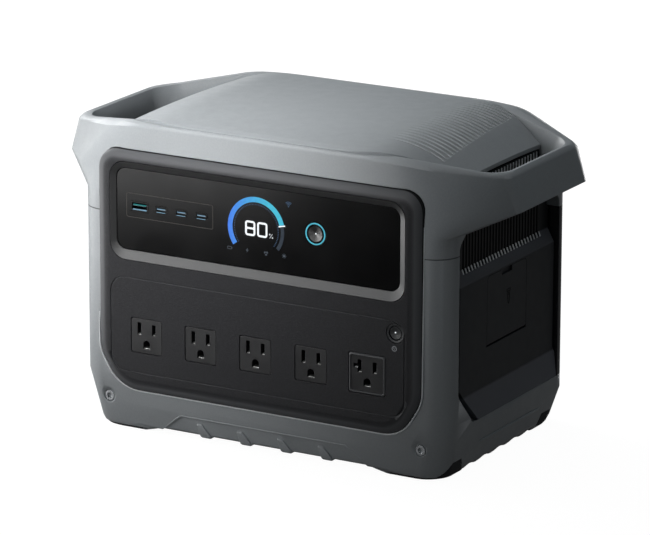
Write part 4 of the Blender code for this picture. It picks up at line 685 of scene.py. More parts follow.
def gauge_number():
    """Two rounded digits and a small per cent sign."""
    hole_width = DIGIT_WIDTH - 2 * DIGIT_STROKE
    hole_height = (DIGIT_HEIGHT - 3 * DIGIT_STROKE) / 2
    lift = (hole_height + DIGIT_STROKE) / 2
    x, z = GAUGE_MIDDLE
    tens = (x - DIGIT_SPACING / 2, z)
    units = (x + DIGIT_SPACING / 2, z)
    eight = [rounded(tens, DIGIT_WIDTH, DIGIT_HEIGHT, DIGIT_CORNER)]
    for way in (-1, 1):
        eight.append(rounded((tens[0], z + way * lift), hole_width, hole_height, HOLE_CORNER))
    nought = frame_line(units, DIGIT_WIDTH, DIGIT_HEIGHT, DIGIT_CORNER, DIGIT_STROKE)
    white = lit("finish_number", (0.83, 0.87, 0.90), 1.0, 0.05)
    printed("gauge_number", [eight, nought], white, "light_ring")
    x += PERCENT_RIGHT
    z -= PERCENT_DROP
    signs = []
    for way in (-1, 1):
        signs.append([circle((x + way * PERCENT_HALF, z - way * PERCENT_HALF), PERCENT_DOT, 12)])
    ends = [(x + way * PERCENT_HALF, z + way * 1.5 * PERCENT_HALF) for way in (-1, 1)]
    signs.append([bar(ends[0], ends[1], PERCENT_LINE)])
    printed("gauge_percent", signs, lit("finish_percent", (0.55, 0.58, 0.60), 0.9), "light_ring")


# Small marks on the display
ICON_Z = GAUGE_MIDDLE[1] - 17.2 * MM
ICON_LINE = 0.32 * MM
BATTERY_X = -22.9 * MM
BATTERY_WIDTH = 3.6 * MM
BATTERY_HEIGHT = 2.2 * MM
BATTERY_CORNER = 0.5 * MM
CAP_AWAY = 2.1 * MM
CAP_WIDTH = 0.4 * MM
CAP_HEIGHT = 1.0 * MM
CAP_CORNER = 0.15 * MM
BOLT_X = -7.8 * MM
FAN_X = 8.3 * MM
FAN_HUB = 0.5 * MM
FAN_RADIUS = 1.7 * MM
FAN_SWEEP = 70.0
SUN_X = 23.6 * MM
SUN_RADIUS = 0.85 * MM
SUN_RAYS = 8
RAY_START = 1.2 * MM
RAY_END = 1.8 * MM
WAVES = (27.4 * MM, GAUGE_MIDDLE[1] + 20.8 * MM)
WAVE_DOT = 0.5 * MM
WAVE_RADII = (1.4 * MM, 2.4 * MM, 3.4 * MM)
WAVE_HALF = 0.2 * MM


def display_icons():
    """Dim generic signs: waves in the corner, and battery, bolt, fan and sun below the gauge."""
    shapes = [frame_line((BATTERY_X, ICON_Z), BATTERY_WIDTH, BATTERY_HEIGHT, BATTERY_CORNER, ICON_LINE)]
    shapes.append([rounded((BATTERY_X + CAP_AWAY, ICON_Z), CAP_WIDTH, CAP_HEIGHT, CAP_CORNER, 2)])
    bolt = [(0.5, 1.8), (-1.1, -0.2), (-0.1, -0.2), (-0.5, -1.8), (1.1, 0.3), (0.1, 0.3)]
    shapes.append([[(BOLT_X + x * MM, ICON_Z + z * MM) for x, z in bolt]])
    for turn in (0.0, 120.0, 240.0):
        shapes.append([band((FAN_X, ICON_Z), FAN_HUB, FAN_RADIUS, turn, turn + FAN_SWEEP, 6)])
    sun = (SUN_X, ICON_Z)
    shapes.append([circle(sun, SUN_RADIUS, 16)])
    for index in range(SUN_RAYS):
        shapes.append([ray(sun, 360.0 * index / SUN_RAYS, RAY_START, RAY_END, ICON_LINE)])
    printed("display_icons", shapes, lit("finish_icons", (0.075, 0.090, 0.110), 0.8))
    signs = [[circle(WAVES, WAVE_DOT, 12)]]
    for radius in WAVE_RADII:
        signs.append([band(WAVES, radius - WAVE_HALF, radius + WAVE_HALF, 45.0, 135.0, 8)])
    printed("display_waves", signs, lit("finish_waves", (0.060, 0.110, 0.190), 0.8))


# Outline round the ports
PORT_BOX_LEFT = -112.3 * MM
PORT_BOX_RIGHT = -37.0 * MM
PORT_BOX_LOW = GAUGE_MIDDLE[1] - 5.6 * MM
PORT_BOX_HIGH = GAUGE_MIDDLE[1] + 13.1 * MM
PORT_BOX_CORNER = 1.6 * MM
PORT_BOX_LINE = 0.4 * MM


def port_box():
    """The thin outline printed around the ports, made to glow a little as painted light."""
    middle = ((PORT_BOX_LEFT + PORT_BOX_RIGHT) / 2, (PORT_BOX_LOW + PORT_BOX_HIGH) / 2)
    size = (PORT_BOX_RIGHT - PORT_BOX_LEFT, PORT_BOX_HIGH - PORT_BOX_LOW)
    lines = frame_line(middle, *size, PORT_BOX_CORNER, PORT_BOX_LINE)
    # The printed outline glows a little as painted light
    printed("port_outline", [lines], lit("finish_port_line", (0.060, 0.056, 0.052), 0.8))


# Front panel
LINE_HALF = 126.0 * MM
LINE_LOW = 49.5 * MM
LINE_HIGH = 123.5 * MM
LINE_RADIUS = 12.0 * MM
LINE_WIDTH = 0.8 * MM
LINE_DEPTH = 0.6 * MM
CUT_AHEAD = 5 * MM
STRAIGHT_AHEAD = -0.9999


def node_shape(name):
    """A welded copy of a CAD node's mesh."""
    shape = bmesh.new()
    shape.from_mesh(frame["nodes"][name].data)
    bmesh.ops.remove_doubles(shape, verts=shape.verts, dist=WELD)
    return shape


def carve(target, cutter):
    """Cuts a solid out of a piece for good, and softens it again."""
    mesh = bpy.data.meshes.new("cutter")
    bmesh.ops.recalc_face_normals(cutter, faces=cutter.faces)
    cutter.to_mesh(mesh)
    cutter.free()
    tool = new_object("cutter", mesh)
    target.modifiers.clear()
    step = target.modifiers.new("carve", "BOOLEAN")
    step.object = tool
    step.operation = "DIFFERENCE"
    shown = target.evaluated_get(bpy.context.evaluated_depsgraph_get())
    carved = bpy.data.meshes.new_from_object(shown)
    target.modifiers.clear()
    target.data = carved
    bpy.data.objects.remove(tool)
    carved.shade_smooth()
    carved.set_sharp_from_angle(angle=SOFT_ANGLE)


def crisp_front(target):
    """Marks the border of every face that looks straight ahead as sharp."""
    shape = bmesh.new()
    shape.from_mesh(target.data)
    for edge in shape.edges:
        ahead = [face.normal.y < STRAIGHT_AHEAD for face in edge.link_faces]
        if any(ahead) and not all(ahead):
            edge.smooth = False
    shape.to_mesh(target.data)
    shape.free()


def panel_face():
    """The front panel, with the fine line that frames the outlets."""
    panel = piece("front_panel_face", node_shape("front_panel"), slot="panel_dark")
    middle = (0.0, (LINE_LOW + LINE_HIGH) / 2)
    ring = frame_line(middle, 2 * LINE_HALF, LINE_HIGH - LINE_LOW, LINE_RADIUS, LINE_WIDTH)
    carve(panel, plates([ring], PANEL_FACE - CUT_AHEAD, PANEL_FACE + LINE_DEPTH))
    crisp_front(panel)
    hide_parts("front_panel")


# Lip of the frame's opening round the panel
OPENING_HALF = 138.5 * MM
OPENING_BOTTOM = 33.6 * MM
OPENING_RUN = 17.3 * MM
OPENING_RISE = 29.2 * MM
OPENING_TOP = 195.0 * MM
OPENING_CORNER = 30.0 * MM
ROLL_RADIUS = 0.65 * MM
ROLL_AHEAD = 1.0 * MM
CORNER_STEPS = 8


def softened(corners, radius):
    """An open chain of points with its inner corners rounded."""
    points = [corners[0]]
    for before, here, after in zip(corners, corners[1:], corners[2:]):
        back = (Vector(before) - Vector(here)).normalized()
        ahead = (Vector(after) - Vector(here)).normalized()
        half = back.angle(ahead) / 2
        middle = Vector(here) + (back + ahead).normalized() * radius / math.sin(half)
        start = Vector(here) + back * radius / math.tan(half) - middle
        end = Vector(here) + ahead * radius / math.tan(half) - middle
        for step in range(CORNER_STEPS + 1):
            points.append(tuple(middle + start.slerp(end, step / CORNER_STEPS).normalized() * radius))
    return points + [corners[-1]]


def opening_lip():
    """A fine rolled lip along the lower and right edge of the frame's opening, painted pale as a highlight
    line.
    """
    low = OPENING_BOTTOM + OPENING_RISE
    inner = OPENING_HALF - OPENING_RUN
    corners = [(-OPENING_HALF, low + OPENING_RISE), (-OPENING_HALF, low), (-inner, OPENING_BOTTOM),
               (inner, OPENING_BOTTOM), (OPENING_HALF, low), (OPENING_HALF, OPENING_TOP)]
    path = []
    for x, z in softened(corners, OPENING_CORNER):
        hits = [front_land(name, x, z) for name in ("lower_frame", "upper_frame")]
        face = min((hit for hit in hits if hit), key=lambda hit: hit.y)
        path.append(face + Vector((0.0, -ROLL_AHEAD, 0.0)))
    # Painted highlight: the lip is painted pale so its edge reads as lit
    pale = moulded("finish_opening", (0.66, 0.68, 0.70), 0.35, specular=0.5)
    piece("opening_lip", bead(path, ROLL_RADIUS), pale)


# Top cover, in the CAD cover's own shape with fine steps added
COVER_TOP = COVER_HIGH.z
COVER_END = COVER_HIGH.x
COVER_DEPTH = COVER_HIGH.y
COVER_SHOULDER = 110.0 * MM
COVER_FALL = 22.0 * MM
COVER_ROUND = 95.0 * MM
COVER_CROWN = 2.8 * MM
COVER_EDGE_DROP = 1.4 * MM
COVER_EDGE_RUN = 8.0 * MM
COVER_THICKNESS = 3.0 * MM
CORNER_START = 60.8 * MM
CORNER_END = 104.7 * MM
CORNER_RADIUS = 100.0 * MM
STEP_COUNT = 24
STEP_PITCH = 5.9 * MM
STEP_FIRST = -60.0 * MM
STEP_START = 58.0 * MM
STEP_END = 126.0 * MM
STEP_END_LEAN = 0.083
STEP_DEPTH = 1.15 * MM
STEP_RISER = 0.35 * MM
STEP_BEND = 1.6
STEP_LIMIT = 1.0001
COUNT_SLACK = 1e-6
# Spacing of the cover's mesh
INNER_COLUMN = 30 * MM
STEP_COLUMNS = 14
CLIFF_RUN = 0.3 * MM
END_COLUMNS = 5
EDGE_ROWS = 4


def cover_height(x):
    """Height of the cover along X in the middle of its depth."""
    slope = COVER_FALL / (COVER_END - COVER_SHOULDER)
    angle = math.atan(slope)
    bend = max(0.0, abs(x) - COVER_SHOULDER + COVER_ROUND * math.tan(angle / 2))
    if bend < COVER_ROUND * math.sin(angle):
        return COVER_TOP - COVER_ROUND + math.sqrt(COVER_ROUND ** 2 - bend ** 2)
    return COVER_TOP - COVER_FALL + (COVER_END - abs(x)) * slope


def cover_crown(y):
    """How far the cover falls towards its front and rear edges."""
    edge = max(0.0, abs(y) - COVER_DEPTH + COVER_EDGE_RUN) / COVER_EDGE_RUN
    return COVER_CROWN * (y / COVER_DEPTH) ** 2 + COVER_EDGE_DROP * edge ** 2


def cover_edge(x):
    """The cover's half depth along X, where its corners follow the arms."""
    reach = abs(x) - CORNER_START
    if reach <= 0:
        return COVER_DEPTH
    bend = min(reach, CORNER_END - CORNER_START)
    side = math.sqrt(CORNER_RADIUS ** 2 - bend ** 2)
    return COVER_DEPTH - CORNER_RADIUS + side - max(0.0, abs(x) - CORNER_END) * bend / side


def step_end(y):
    """Where the fine steps stop along X; further in towards the rear."""
    return STEP_END - STEP_END_LEAN * y


def step_drop(x, y):
    """Depth of the fine steps below the smooth surface."""
    along = (x - STEP_START) / (step_end(y) - STEP_START)
    count = (y - STEP_FIRST) / STEP_PITCH
    if along <= 0 or along > STEP_LIMIT or count < 0 or count >= STEP_COUNT:
        return 0.0
    fall = (count - math.floor(count + COUNT_SLACK)) * STEP_PITCH / (STEP_PITCH - STEP_RISER)
    return STEP_DEPTH * along ** STEP_BEND * fall


def cover_columns(y):
    """Stations along X for one row; they lean with the end of the steps."""
    end = step_end(y)
    half = [0.0, INNER_COLUMN]
    half += [STEP_START + (end - STEP_START) * step / STEP_COLUMNS for step in range(STEP_COLUMNS + 1)]
    half += [end + CLIFF_RUN]
    half += [end + (COVER_END - end) * step / END_COLUMNS for step in range(1, END_COLUMNS + 1)]
    return [-x for x in reversed(half[1:])] + half


def cover_rows():
    """Stations along Y: the rounded edges, and the crest and foot of each step."""
    edge = [COVER_DEPTH - COVER_EDGE_RUN * step / EDGE_ROWS for step in range(EDGE_ROWS + 1)]
    rows = [-y for y in edge]
    for index in range(STEP_COUNT):
        start = STEP_FIRST + index * STEP_PITCH
        rows += [start, start + STEP_PITCH / 2, start + STEP_PITCH - STEP_RISER]
    rows.append(STEP_FIRST + STEP_COUNT * STEP_PITCH)
    return rows + [y for y in reversed(edge) if y > rows[-1]]


def top_cover():
    """The cover as a closed shell with fine steps that deepen towards its right end."""
    shell = bmesh.new()
    grids = []
    for under in (0.0, COVER_THICKNESS):
        grid = []
        for row in cover_rows():
            line = []
            for x in cover_columns(row):
                y = min(max(row, -cover_edge(x)), cover_edge(x))
                z = cover_height(x) - cover_crown(y) - under
                if under == 0:
                    z -= step_drop(x, y)
                line.append(shell.verts.new((x, y, z)))
            grid.append(line)
        grids.append(grid)
    for grid in grids:
        for low, high in zip(grid, grid[1:]):
            for index in range(len(low) - 1):
                shell.faces.new((low[index], low[index + 1], high[index + 1], high[index]))
    border = [[*grid[0], *[line[-1] for line in grid[1:]], *reversed(grid[-1][:-1]),
               *[line[0] for line in reversed(grid[1:-1])]] for grid in grids]
    for index in range(len(border[0])):
        shell.faces.new((border[0][index - 1], border[0][index], border[1][index], border[1][index - 1]))
    bmesh.ops.dissolve_degenerate(shell, edges=shell.edges, dist=WELD)
    cover = piece("top_cover_shell", shell)
    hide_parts("top_cover")


# Where the side panels carry painted light: shade in the louvres, highlights on the ledge and foot
LOUVRE_BACK = 148.8 * MM
LOUVRE_FRONT = 149.3 * MM
LEDGE_LOW = 145.0 * MM
LEDGE_BLEND = 0.5 * MM
LEDGE_SHARE = 0.5
FOOT_TOP = 60.0 * MM
FOOT_BLEND = 1.0 * MM
# Paler tone of the ledge and the foot: a painted highlight
PAINTED_HIGHLIGHT_LEVEL = 10.0


def dress_frame():
    """A finish for every CAD node, with finishes of their own for the rim and for the louvred sides, which
    carry painted shade and painted highlights.
    """
    rim = moulded("finish_rim", BEZEL, 0.38, specular=0.5, depth=0.004 * MM, mottle=0.04, wear_and_highlight=0.0,
                  patches=0.01, radius=0.2 * MM)
    louvred = moulded("finish_louvred", SIDE, shade=side_painted_light, **SIDE_SATIN)
    own = {"display_bezel": rim, "power_ring": FINISHES["gloss_black"],
           "left_side_panel": louvred, "right_side_panel": louvred}
    for name in frame["nodes"]:
        dress(name, own.get(name))


def side_painted_light(shader, tone):
    """Painted shade and highlights: the louvres, set back from the face, painted deep black, and the ledge
    and the foot painted a paler satin, as if lit from above.
    """
    out = shader.maths("ABSOLUTE", shader.axis(0))
    up = shader.axis(2)
    foot = shader.remap(up, 1.0, 0.0, FOOT_TOP - FOOT_BLEND, FOOT_TOP + FOOT_BLEND)
    ledge = shader.remap(up, 0.0, LEDGE_SHARE, LEDGE_LOW - LEDGE_BLEND, LEDGE_LOW + LEDGE_BLEND)
    # Painted highlight: the ledge and the foot painted paler
    tone = shader.mix(shader.maths("MAXIMUM", foot, ledge), tone, opaque(SIDE, PAINTED_HIGHLIGHT_LEVEL))
    # Painted shade: louvres set back from the face painted black
    raised = shader.remap(out, 0.0, 1.0, LOUVRE_BACK, LOUVRE_FRONT)
    return shader.mix(raised, opaque(LOUVRE_PAINTED_SHADE), tone)


# Ports
PORT_NAMES = ("usb_a_port", "usb_c_port_1", "usb_c_port_2", "usb_c_port_3")
PORT_WALL = 0.9 * MM
WIDE_RADIUS = 0.9 * MM
NARROW_ROUND = 0.48
MASK_MARGIN = 0.35 * MM
LIP_FRONT = -0.15 * MM
LIP_BACK = 0.5 * MM
LIP_HEIGHT = 0.75 * MM
LIP_ROUND = 0.2 * MM
LIP_INSET = 1.0 * MM
NARROW_LIP = 0.6
NARROW_FOOT = 0.3 * MM
TONGUE_INSET = 1.9 * MM
WIDE_LIFT = 1.3 * MM
NARROW_LIFT = 0.5 * MM


def ports():
    """Black masks round the port mouths, and painted highlights inside them: glowing strips on the edges
    of the tongues and lips.
    """
    masks = []
    tongues = []
    lips = []
    for name in PORT_NAMES:
        wide = name == "usb_a_port"
        low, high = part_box(name)
        x, z = middle_of(low, high)
        width = high.x - low.x
        height = high.z - low.z
        radius = WIDE_RADIUS if wide else NARROW_ROUND * height
        mouth = width - 2 * PORT_WALL
        outer = rounded((x, z), width + 2 * MASK_MARGIN, height + 2 * MASK_MARGIN, radius + MASK_MARGIN)
        inner = rounded((x, z), mouth, height - 2 * PORT_WALL, max(radius - PORT_WALL, LIP_ROUND))
        masks.append([outer, inner])
        thick = LIP_HEIGHT if wide else NARROW_LIP * LIP_HEIGHT
        lift = WIDE_LIFT if wide else NARROW_LIFT
        tongue = [rounded((x, z + lift), mouth - TONGUE_INSET, thick, LIP_ROUND, 3)]
        (tongues if wide else lips).append(tongue)
        foot = low.z + (PORT_WALL + LIP_HEIGHT / 2 if wide else NARROW_FOOT)
        lips.append([rounded((x, foot), mouth - LIP_INSET, thick, LIP_ROUND, 3)])
    printed("port_masks", masks)
    # Painted highlights: the edges of the tongues and lips glow though they are no lamp
    levels = (GLASS_FACE + LIP_FRONT, GLASS_FACE + LIP_BACK)
    painted_tongue_highlight = lit("finish_tongue", (0.010, 0.190, 0.190), 0.8)
    piece("port_tongues", plates(tongues, *levels), painted_tongue_highlight, slot="port_steel")
    pale = lit("finish_lip", (0.180, 0.330, 0.450), 0.8)
    piece("port_lips", plates(lips, *levels), pale, slot="port_steel")


# Buttons
GLOW_INNER = 7.35 * MM
GLOW_OUTER = 8.35 * MM
POWER_RADIUS = 6.9 * MM
SPUN_RADIUS = 5.8 * MM
# Radius, and depth behind the front, from the dished middle to the rim
POWER_PROFILE = ((0.3 * MM, 0.9 * MM), (1.2 * MM, 0.8 * MM), (SPUN_RADIUS, 0.15 * MM), (6.2 * MM, 0.0),
                 (POWER_RADIUS, 0.35 * MM))
LED_RADIUS = 0.5 * MM
LED_BACK = 1.2 * MM
POWER_LED_DEPTH = 0.55 * MM
AC_LED_DEPTH = 0.2 * MM
AC_LED_SHIFT = (-0.5 * MM, 0.4 * MM)
AC_SIGN_SHIFT = (-0.6 * MM, -11.5 * MM)
AC_SIGN_RADIUS = 2.0 * MM
AC_SIGN_LINE = 0.4 * MM
SIGN_SLOT_SIDE = 0.6 * MM
SIGN_SLOT_LOW = 0.1 * MM
SIGN_SLOT_HIGH = 0.9 * MM
SIGN_SLOT_WIDTH = 0.35 * MM
SIGN_HOLE_DROP = 0.7 * MM
SIGN_HOLE_RADIUS = 0.3 * MM


def buttons():
    """Light ring and spun face of the power button; lamp dot and sign of the outlet button."""
    middle = (POWER_X, POWER_Z)
    glow = [circle(middle, radius, 64) for radius in (GLOW_OUTER, GLOW_INNER)]
    printed("power_glow", [glow], slot="light_ring")
    level = POWER_LOW.y
    profile = [(radius, level + depth) for radius, depth in POWER_PROFILE]
    shape = turned(profile + [(POWER_RADIUS, POWER_HIGH.y)], middle)
    face = piece("power_button_face", shape, spun_metal("finish_spun"), "power_button", "button_metal",
                 (POWER_X, level, POWER_Z))
    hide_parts("power_button")
    white = lit("finish_led", WHITE_GLOW, 1.2, 0.05)
    dot = plates([[circle(middle, LED_RADIUS, 16)]], level + LED_BACK, level + POWER_LED_DEPTH)
    piece("power_dot", dot, white, "power_button", "light_ring")
    lens = circle((AC_X + AC_LED_SHIFT[0], AC_Z + AC_LED_SHIFT[1]), LED_RADIUS, 16)
    led = plates([[lens]], AC_LOW.y + LED_BACK, AC_LOW.y + AC_LED_DEPTH)
    piece("ac_dot", led, white, "ac_button", "light_ring")
    x = AC_X + AC_SIGN_SHIFT[0]
    z = AC_Z + AC_SIGN_SHIFT[1]
    shapes = [[circle((x, z), radius, 24) for radius in (AC_SIGN_RADIUS, AC_SIGN_RADIUS - AC_SIGN_LINE)]]
    for side in (x - SIGN_SLOT_SIDE, x + SIGN_SLOT_SIDE):
        shapes.append([bar((side, z + SIGN_SLOT_LOW), (side, z + SIGN_SLOT_HIGH), SIGN_SLOT_WIDTH)])
    shapes.append([circle((x, z - SIGN_HOLE_DROP), SIGN_HOLE_RADIUS, 8)])
    # The printed sign glows a little as painted light
    printed("ac_sign", shapes, lit("finish_sign", (0.17, 0.18, 0.19), 0.9), "panel_dark", PANEL_FACE)


def spun_metal(name):
    """Dark metal spun on a lathe: rings about the face's middle, a fan-shaped sheen, and painted shade:
    the chamfer round the spun face painted near black.
    """
    shader = Shader(name)
    flat = shader.node("ShaderNodeVectorMath", operation="MULTIPLY")
    shader.feed(flat, {0: shader.places, 1: (1.0, 0.0, 1.0)})
    away = shader.node("ShaderNodeVectorMath", operation="LENGTH")
    shader.feed(away, {0: flat.outputs[0]})
    rings = shader.node("ShaderNodeTexNoise", noise_dimensions="1D")
    shader.feed(rings, {"W": away.outputs["Value"], "Scale": 1.0 / (0.22 * MM), "Detail": 2.0})
    tone = shader.mix(rings.outputs[0], (0.030, 0.031, 0.033, 1.0), (0.110, 0.108, 0.105, 1.0))
    # Painted shade: the chamfer beyond the spun face is painted near black
    rim = shader.remap(away.outputs["Value"], 0.0, 1.0, SPUN_RADIUS, SPUN_RADIUS + 0.2 * MM)
    tone = shader.mix(rim, tone, (0.003, 0.003, 0.003, 1.0))
    tangent = shader.node("ShaderNodeTangent", direction_type="RADIAL", axis="Y")
    gloss = shader.remap(rings.outputs[0], 0.24, 0.40)
    shader.feed(shader.surface, {"Base Color": tone, "Roughness": gloss, "Metallic": 1.0,
                                 "Anisotropic": 0.85, "Tangent": tangent.outputs[0]})
    return shader.material


# Outlets
OUTLET_NAMES = [f"outlet_{index + 1}" for index in range(5)]
BLADE_SPACING = 12.7 * MM
BLADE_RISE = 5.3 * MM
BLADE_WIDTH = 3.1 * MM
NEUTRAL_LENGTH = 9.8 * MM
LIVE_LENGTH = 8.6 * MM
GROUND_DROP = 11.9 * MM
GROUND_WIDTH = 5.8 * MM
GROUND_HEIGHT = 6.6 * MM
LEAF_GAP = 0.15 * MM
FRAME_WIDTH = 1.5 * MM
FRAME_RISE = 0.9 * MM
FRAME_FLAT = 0.3 * MM
FRAME_SINK = 0.2 * MM
FRAME_CORNER = 1.6 * MM


def contact_leaf(x, low, width, face):
    """A bent spring leaf that fills the lower end of a slot, its lip just behind the face."""
    profile = [(0.9, 0.1), (0.9, 0.45), (1.3, 0.8), (2.4, 1.1), (4.5, 1.2), (4.5, 0.8), (2.5, 0.7),
               (1.6, 0.5), (1.3, 0.3), (1.3, 0.1)]
    ends = (x - width / 2 + LEAF_GAP, x + width / 2 - LEAF_GAP)
    return skin([[Vector((end, face + y * MM, low + z * MM)) for y, z in profile] for end in ends])


def outlet_contacts():
    """Contact leaves in every slot of the five outlets."""
    leaves = []
    for name in OUTLET_NAMES:
        low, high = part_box(name)
        x, z = middle_of(low, high)
        z += BLADE_RISE
        left = x - BLADE_SPACING / 2
        leaves.append(contact_leaf(left, z - NEUTRAL_LENGTH / 2, BLADE_WIDTH, low.y))
        leaves.append(contact_leaf(x + BLADE_SPACING / 2, z - LIVE_LENGTH / 2, BLADE_WIDTH, low.y))
        leaves.append(contact_leaf(x, z - GROUND_DROP - GROUND_HEIGHT / 2, GROUND_WIDTH, low.y))
        if name == OUTLET_NAMES[-1]:
            arm = NEUTRAL_LENGTH / 2 - BLADE_WIDTH / 2
            leaves.append(contact_leaf(left - BLADE_WIDTH / 2 - arm / 2, z - BLADE_WIDTH / 2, arm, low.y))
    steel = brushed("finish_leaf", (0.42, 0.42, 0.41), 0.34)
    piece("outlet_contacts", merged(leaves), steel, slot="port_steel")


def outlet_frame():
    """The raised, chamfered frame round the largest outlet, painted lighter than the outlet as a highlight
    on its edges.
    """
    low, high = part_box(OUTLET_NAMES[-1])
    size = high.x - low.x
    steps = [(0.0, FRAME_SINK), (0.0, 0.0), (FRAME_RISE, -FRAME_RISE),
             (FRAME_RISE + FRAME_FLAT, -FRAME_RISE), (FRAME_WIDTH, -0.3 * FRAME_RISE),
             (FRAME_WIDTH, FRAME_SINK)]
    loops = []
    for inset, level in steps:
        ring = rounded(middle_of(low, high), size - 2 * inset, size - 2 * inset, FRAME_CORNER, 4)
        loops.append([front_place(point, low.y + level) for point in ring])
    # Painted highlight: the frame is painted much lighter than the outlet's black
    edge = moulded("finish_outlet_frame", (0.100, 0.102, 0.106), 0.40, mottle=0.15, wear_and_highlight=0.5)
    piece("outlet_5_frame", skin(loops, ring=True), edge, slot="outlet_black")


# Louvre fins of the side panels
SIDES = (("left", -1), ("right", 1))
FIN_COUNT = 27
FIN_PITCH = 4.67 * MM
FIN_PLACES = [(index - (FIN_COUNT - 1) / 2) * FIN_PITCH for index in range(FIN_COUNT)]
TOOTH_WIDTH = 1.7 * MM
TOOTH_TOP = 155.6 * MM
TOOTH_LOW = 152.2 * MM
TOOTH_SKEW = 0.9 * MM
TOOTH_RISE = 0.35 * MM
TOOTH_FLAT = 0.8
HEAD_TOP = 218.4 * MM
HEAD_LOW = 212.6 * MM
HEAD_WIDTH = 1.3 * MM
HEAD_RISE = 0.6 * MM
HEAD_FLAT = 0.6
# Rays to the upper fins start in the handle openings
HEAD_REACH = 0.16


def fin_section(face, way, shift, width, rise, flat, z):
    """A fin's bevelled section at one height, standing out of the face it lands on."""
    section = ((-1, -rise), (-flat, rise), (flat, rise), (1, -rise))
    return [Vector((face.x + way * out, face.y + shift + side * width / 2, z)) for side, out in section]


def louvre_teeth():
    """The bevelled feet of the louvre fins along both ledges, painted pale as bright highlights."""
    # Painted highlight: the teeth are painted pale
    finish = moulded("finish_teeth", (0.66, 0.67, 0.68), 0.35, specular=0.5, wear_and_highlight=0.3)
    for side, way in SIDES:
        teeth = []
        for y in FIN_PLACES:
            loops = []
            for z, skew in ((TOOTH_LOW, -TOOTH_SKEW / 2), (TOOTH_TOP, TOOTH_SKEW / 2)):
                face = side_land(f"{side}_side_panel", way, y, z)
                loops.append(fin_section(face, way, skew, TOOTH_WIDTH, TOOTH_RISE, TOOTH_FLAT, z))
            teeth.append(skin(loops))
        piece(f"louvre_teeth_{side}", merged(teeth), finish, slot="side_black")


def louvre_heads():
    """The upper ends of the louvre fins, seen below the ends of the cover, painted pale as highlights."""
    # Painted highlight: the fin heads are painted pale
    finish = moulded("finish_heads", (0.74, 0.75, 0.76), 0.40, specular=0.5, wear_and_highlight=0.3)
    for side, way in SIDES:
        heads = []
        for y in FIN_PLACES[1:-1]:
            face = side_land(f"{side}_side_panel", way, y, HEAD_LOW, HEAD_REACH)
            heads.append(skin([fin_section(face, way, 0.0, HEAD_WIDTH, HEAD_RISE, HEAD_FLAT, z)
                               for z in (HEAD_LOW, HEAD_TOP)]))
        piece(f"louvre_heads_{side}", merged(heads), finish, slot="side_black")


# Sign on the flap
FLAP_SIGN_Y = 3.0 * MM
FLAP_SIGN_Z = 125.5 * MM
FLAP_SIGN_LINE = 0.55 * MM
COLLAR_WIDTH = 6.0 * MM
COLLAR_HEIGHT = 2.2 * MM
COLLAR_CORNER = 0.7 * MM
RAIL_HALF = 2.4 * MM
RAIL_DROP = 2.2 * MM


def flap_sign():
    """A generic round-plug sign on the flap."""
    y, z = FLAP_SIGN_Y, FLAP_SIGN_Z
    shapes = [frame_line((y, z), COLLAR_WIDTH, COLLAR_HEIGHT, COLLAR_CORNER, FLAP_SIGN_LINE)]
    rail = [(y + way * RAIL_HALF, z - RAIL_DROP) for way in (-1, 1)]
    shapes.append([bar(rail[0], rail[1], FLAP_SIGN_LINE)])
    body = [(-2.2, -3.2), (2.2, -3.2), (1.0, -9.6), (0.5, -10.6), (-0.5, -10.6), (-1.0, -9.6)]
    inner = [(-1.55, -3.75), (1.55, -3.75), (0.5, -9.5), (0.3, -10.0), (-0.3, -10.0), (-0.5, -9.5)]
    shapes.append([[(y + right * MM, z + up * MM) for right, up in loop] for loop in (body, inner)])
    back = FLAP_FACE - PRINT_SINK
    finish = moulded("finish_flap_sign", (0.0010, 0.0010, 0.0010), 0.7, specular=0.05, wear_and_highlight=0.0)
    piece("flap_sign", plates(shapes, back, back + PRINT_THICKNESS, side_place), finish, "port_flap",
          "side_black")


# Bumper
RIM_HALF = 71.0 * MM
RIM_TOP = 18.4 * MM
RIM_LOW = 7.0 * MM
RIM_END_SLOPE = 1.30
RIM_RADIUS = 0.55 * MM
RIM_CORNER_RUN = 1.5 * MM
RIM_CORNER_DROP = 1.2 * MM
RIM_POINTS = 6
STRIP_HALF = 68.0 * MM
STRIP_PLAIN = 15.8 * MM
STRIP_BETWEEN = -36.0 * MM
STRIP_LEVELS = (7.0 * MM, 14.0 * MM)
RIB_COUNT = 4
RIB_FIRST = -58.0 * MM
RIB_PITCH = 34.9 * MM
RIB_ASIDE = 8.0 * MM
RIB_ABOVE = 1.0 * MM
RIB_BEVEL = 0.6 * MM
RIB_BEVEL_DEPTH = 0.5 * MM
RIB_BACK = 5.0 * MM
# A rib from its top down, in millimetres: height, left side, right side, depth behind the hull
RIB_SECTIONS = ((13.8, 0.3, 4.6, 2.3), (12.6, 0.0, 5.4, 1.5), (6.0, 2.0, 10.8, 2.3),
                (3.7, 2.4, 11.4, 3.2), (2.7, 3.0, 10.8, 4.4))
RIDGE_Z = 19.3 * MM
RIDGE_START = -40.0 * MM
RIDGE_END = 56.0 * MM
RIDGE_RADIUS = 1.3 * MM
RIDGE_STEPS = 8


def strip_floor(z):
    """Depth of the strip's floor, which leans as the hull does."""
    low, high = (front_land("lower_frame", STRIP_BETWEEN, level) for level in STRIP_LEVELS)
    return low.y + (high.y - low.y) * (z - low.z) / (high.z - low.z)


def bumper_shell():
    """The lower frame, with the plain ribs of its front strip pressed flat for shaped ones."""
    shape = node_shape("lower_frame")
    for corner in shape.verts:
        place = corner.co
        if abs(place.x) < STRIP_HALF and place.z < STRIP_PLAIN:
            place.y = max(place.y, strip_floor(place.z))
    bmesh.ops.dissolve_degenerate(shape, edges=shape.edges, dist=WELD)
    shell = piece("lower_frame_shell", shape)
    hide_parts("lower_frame")


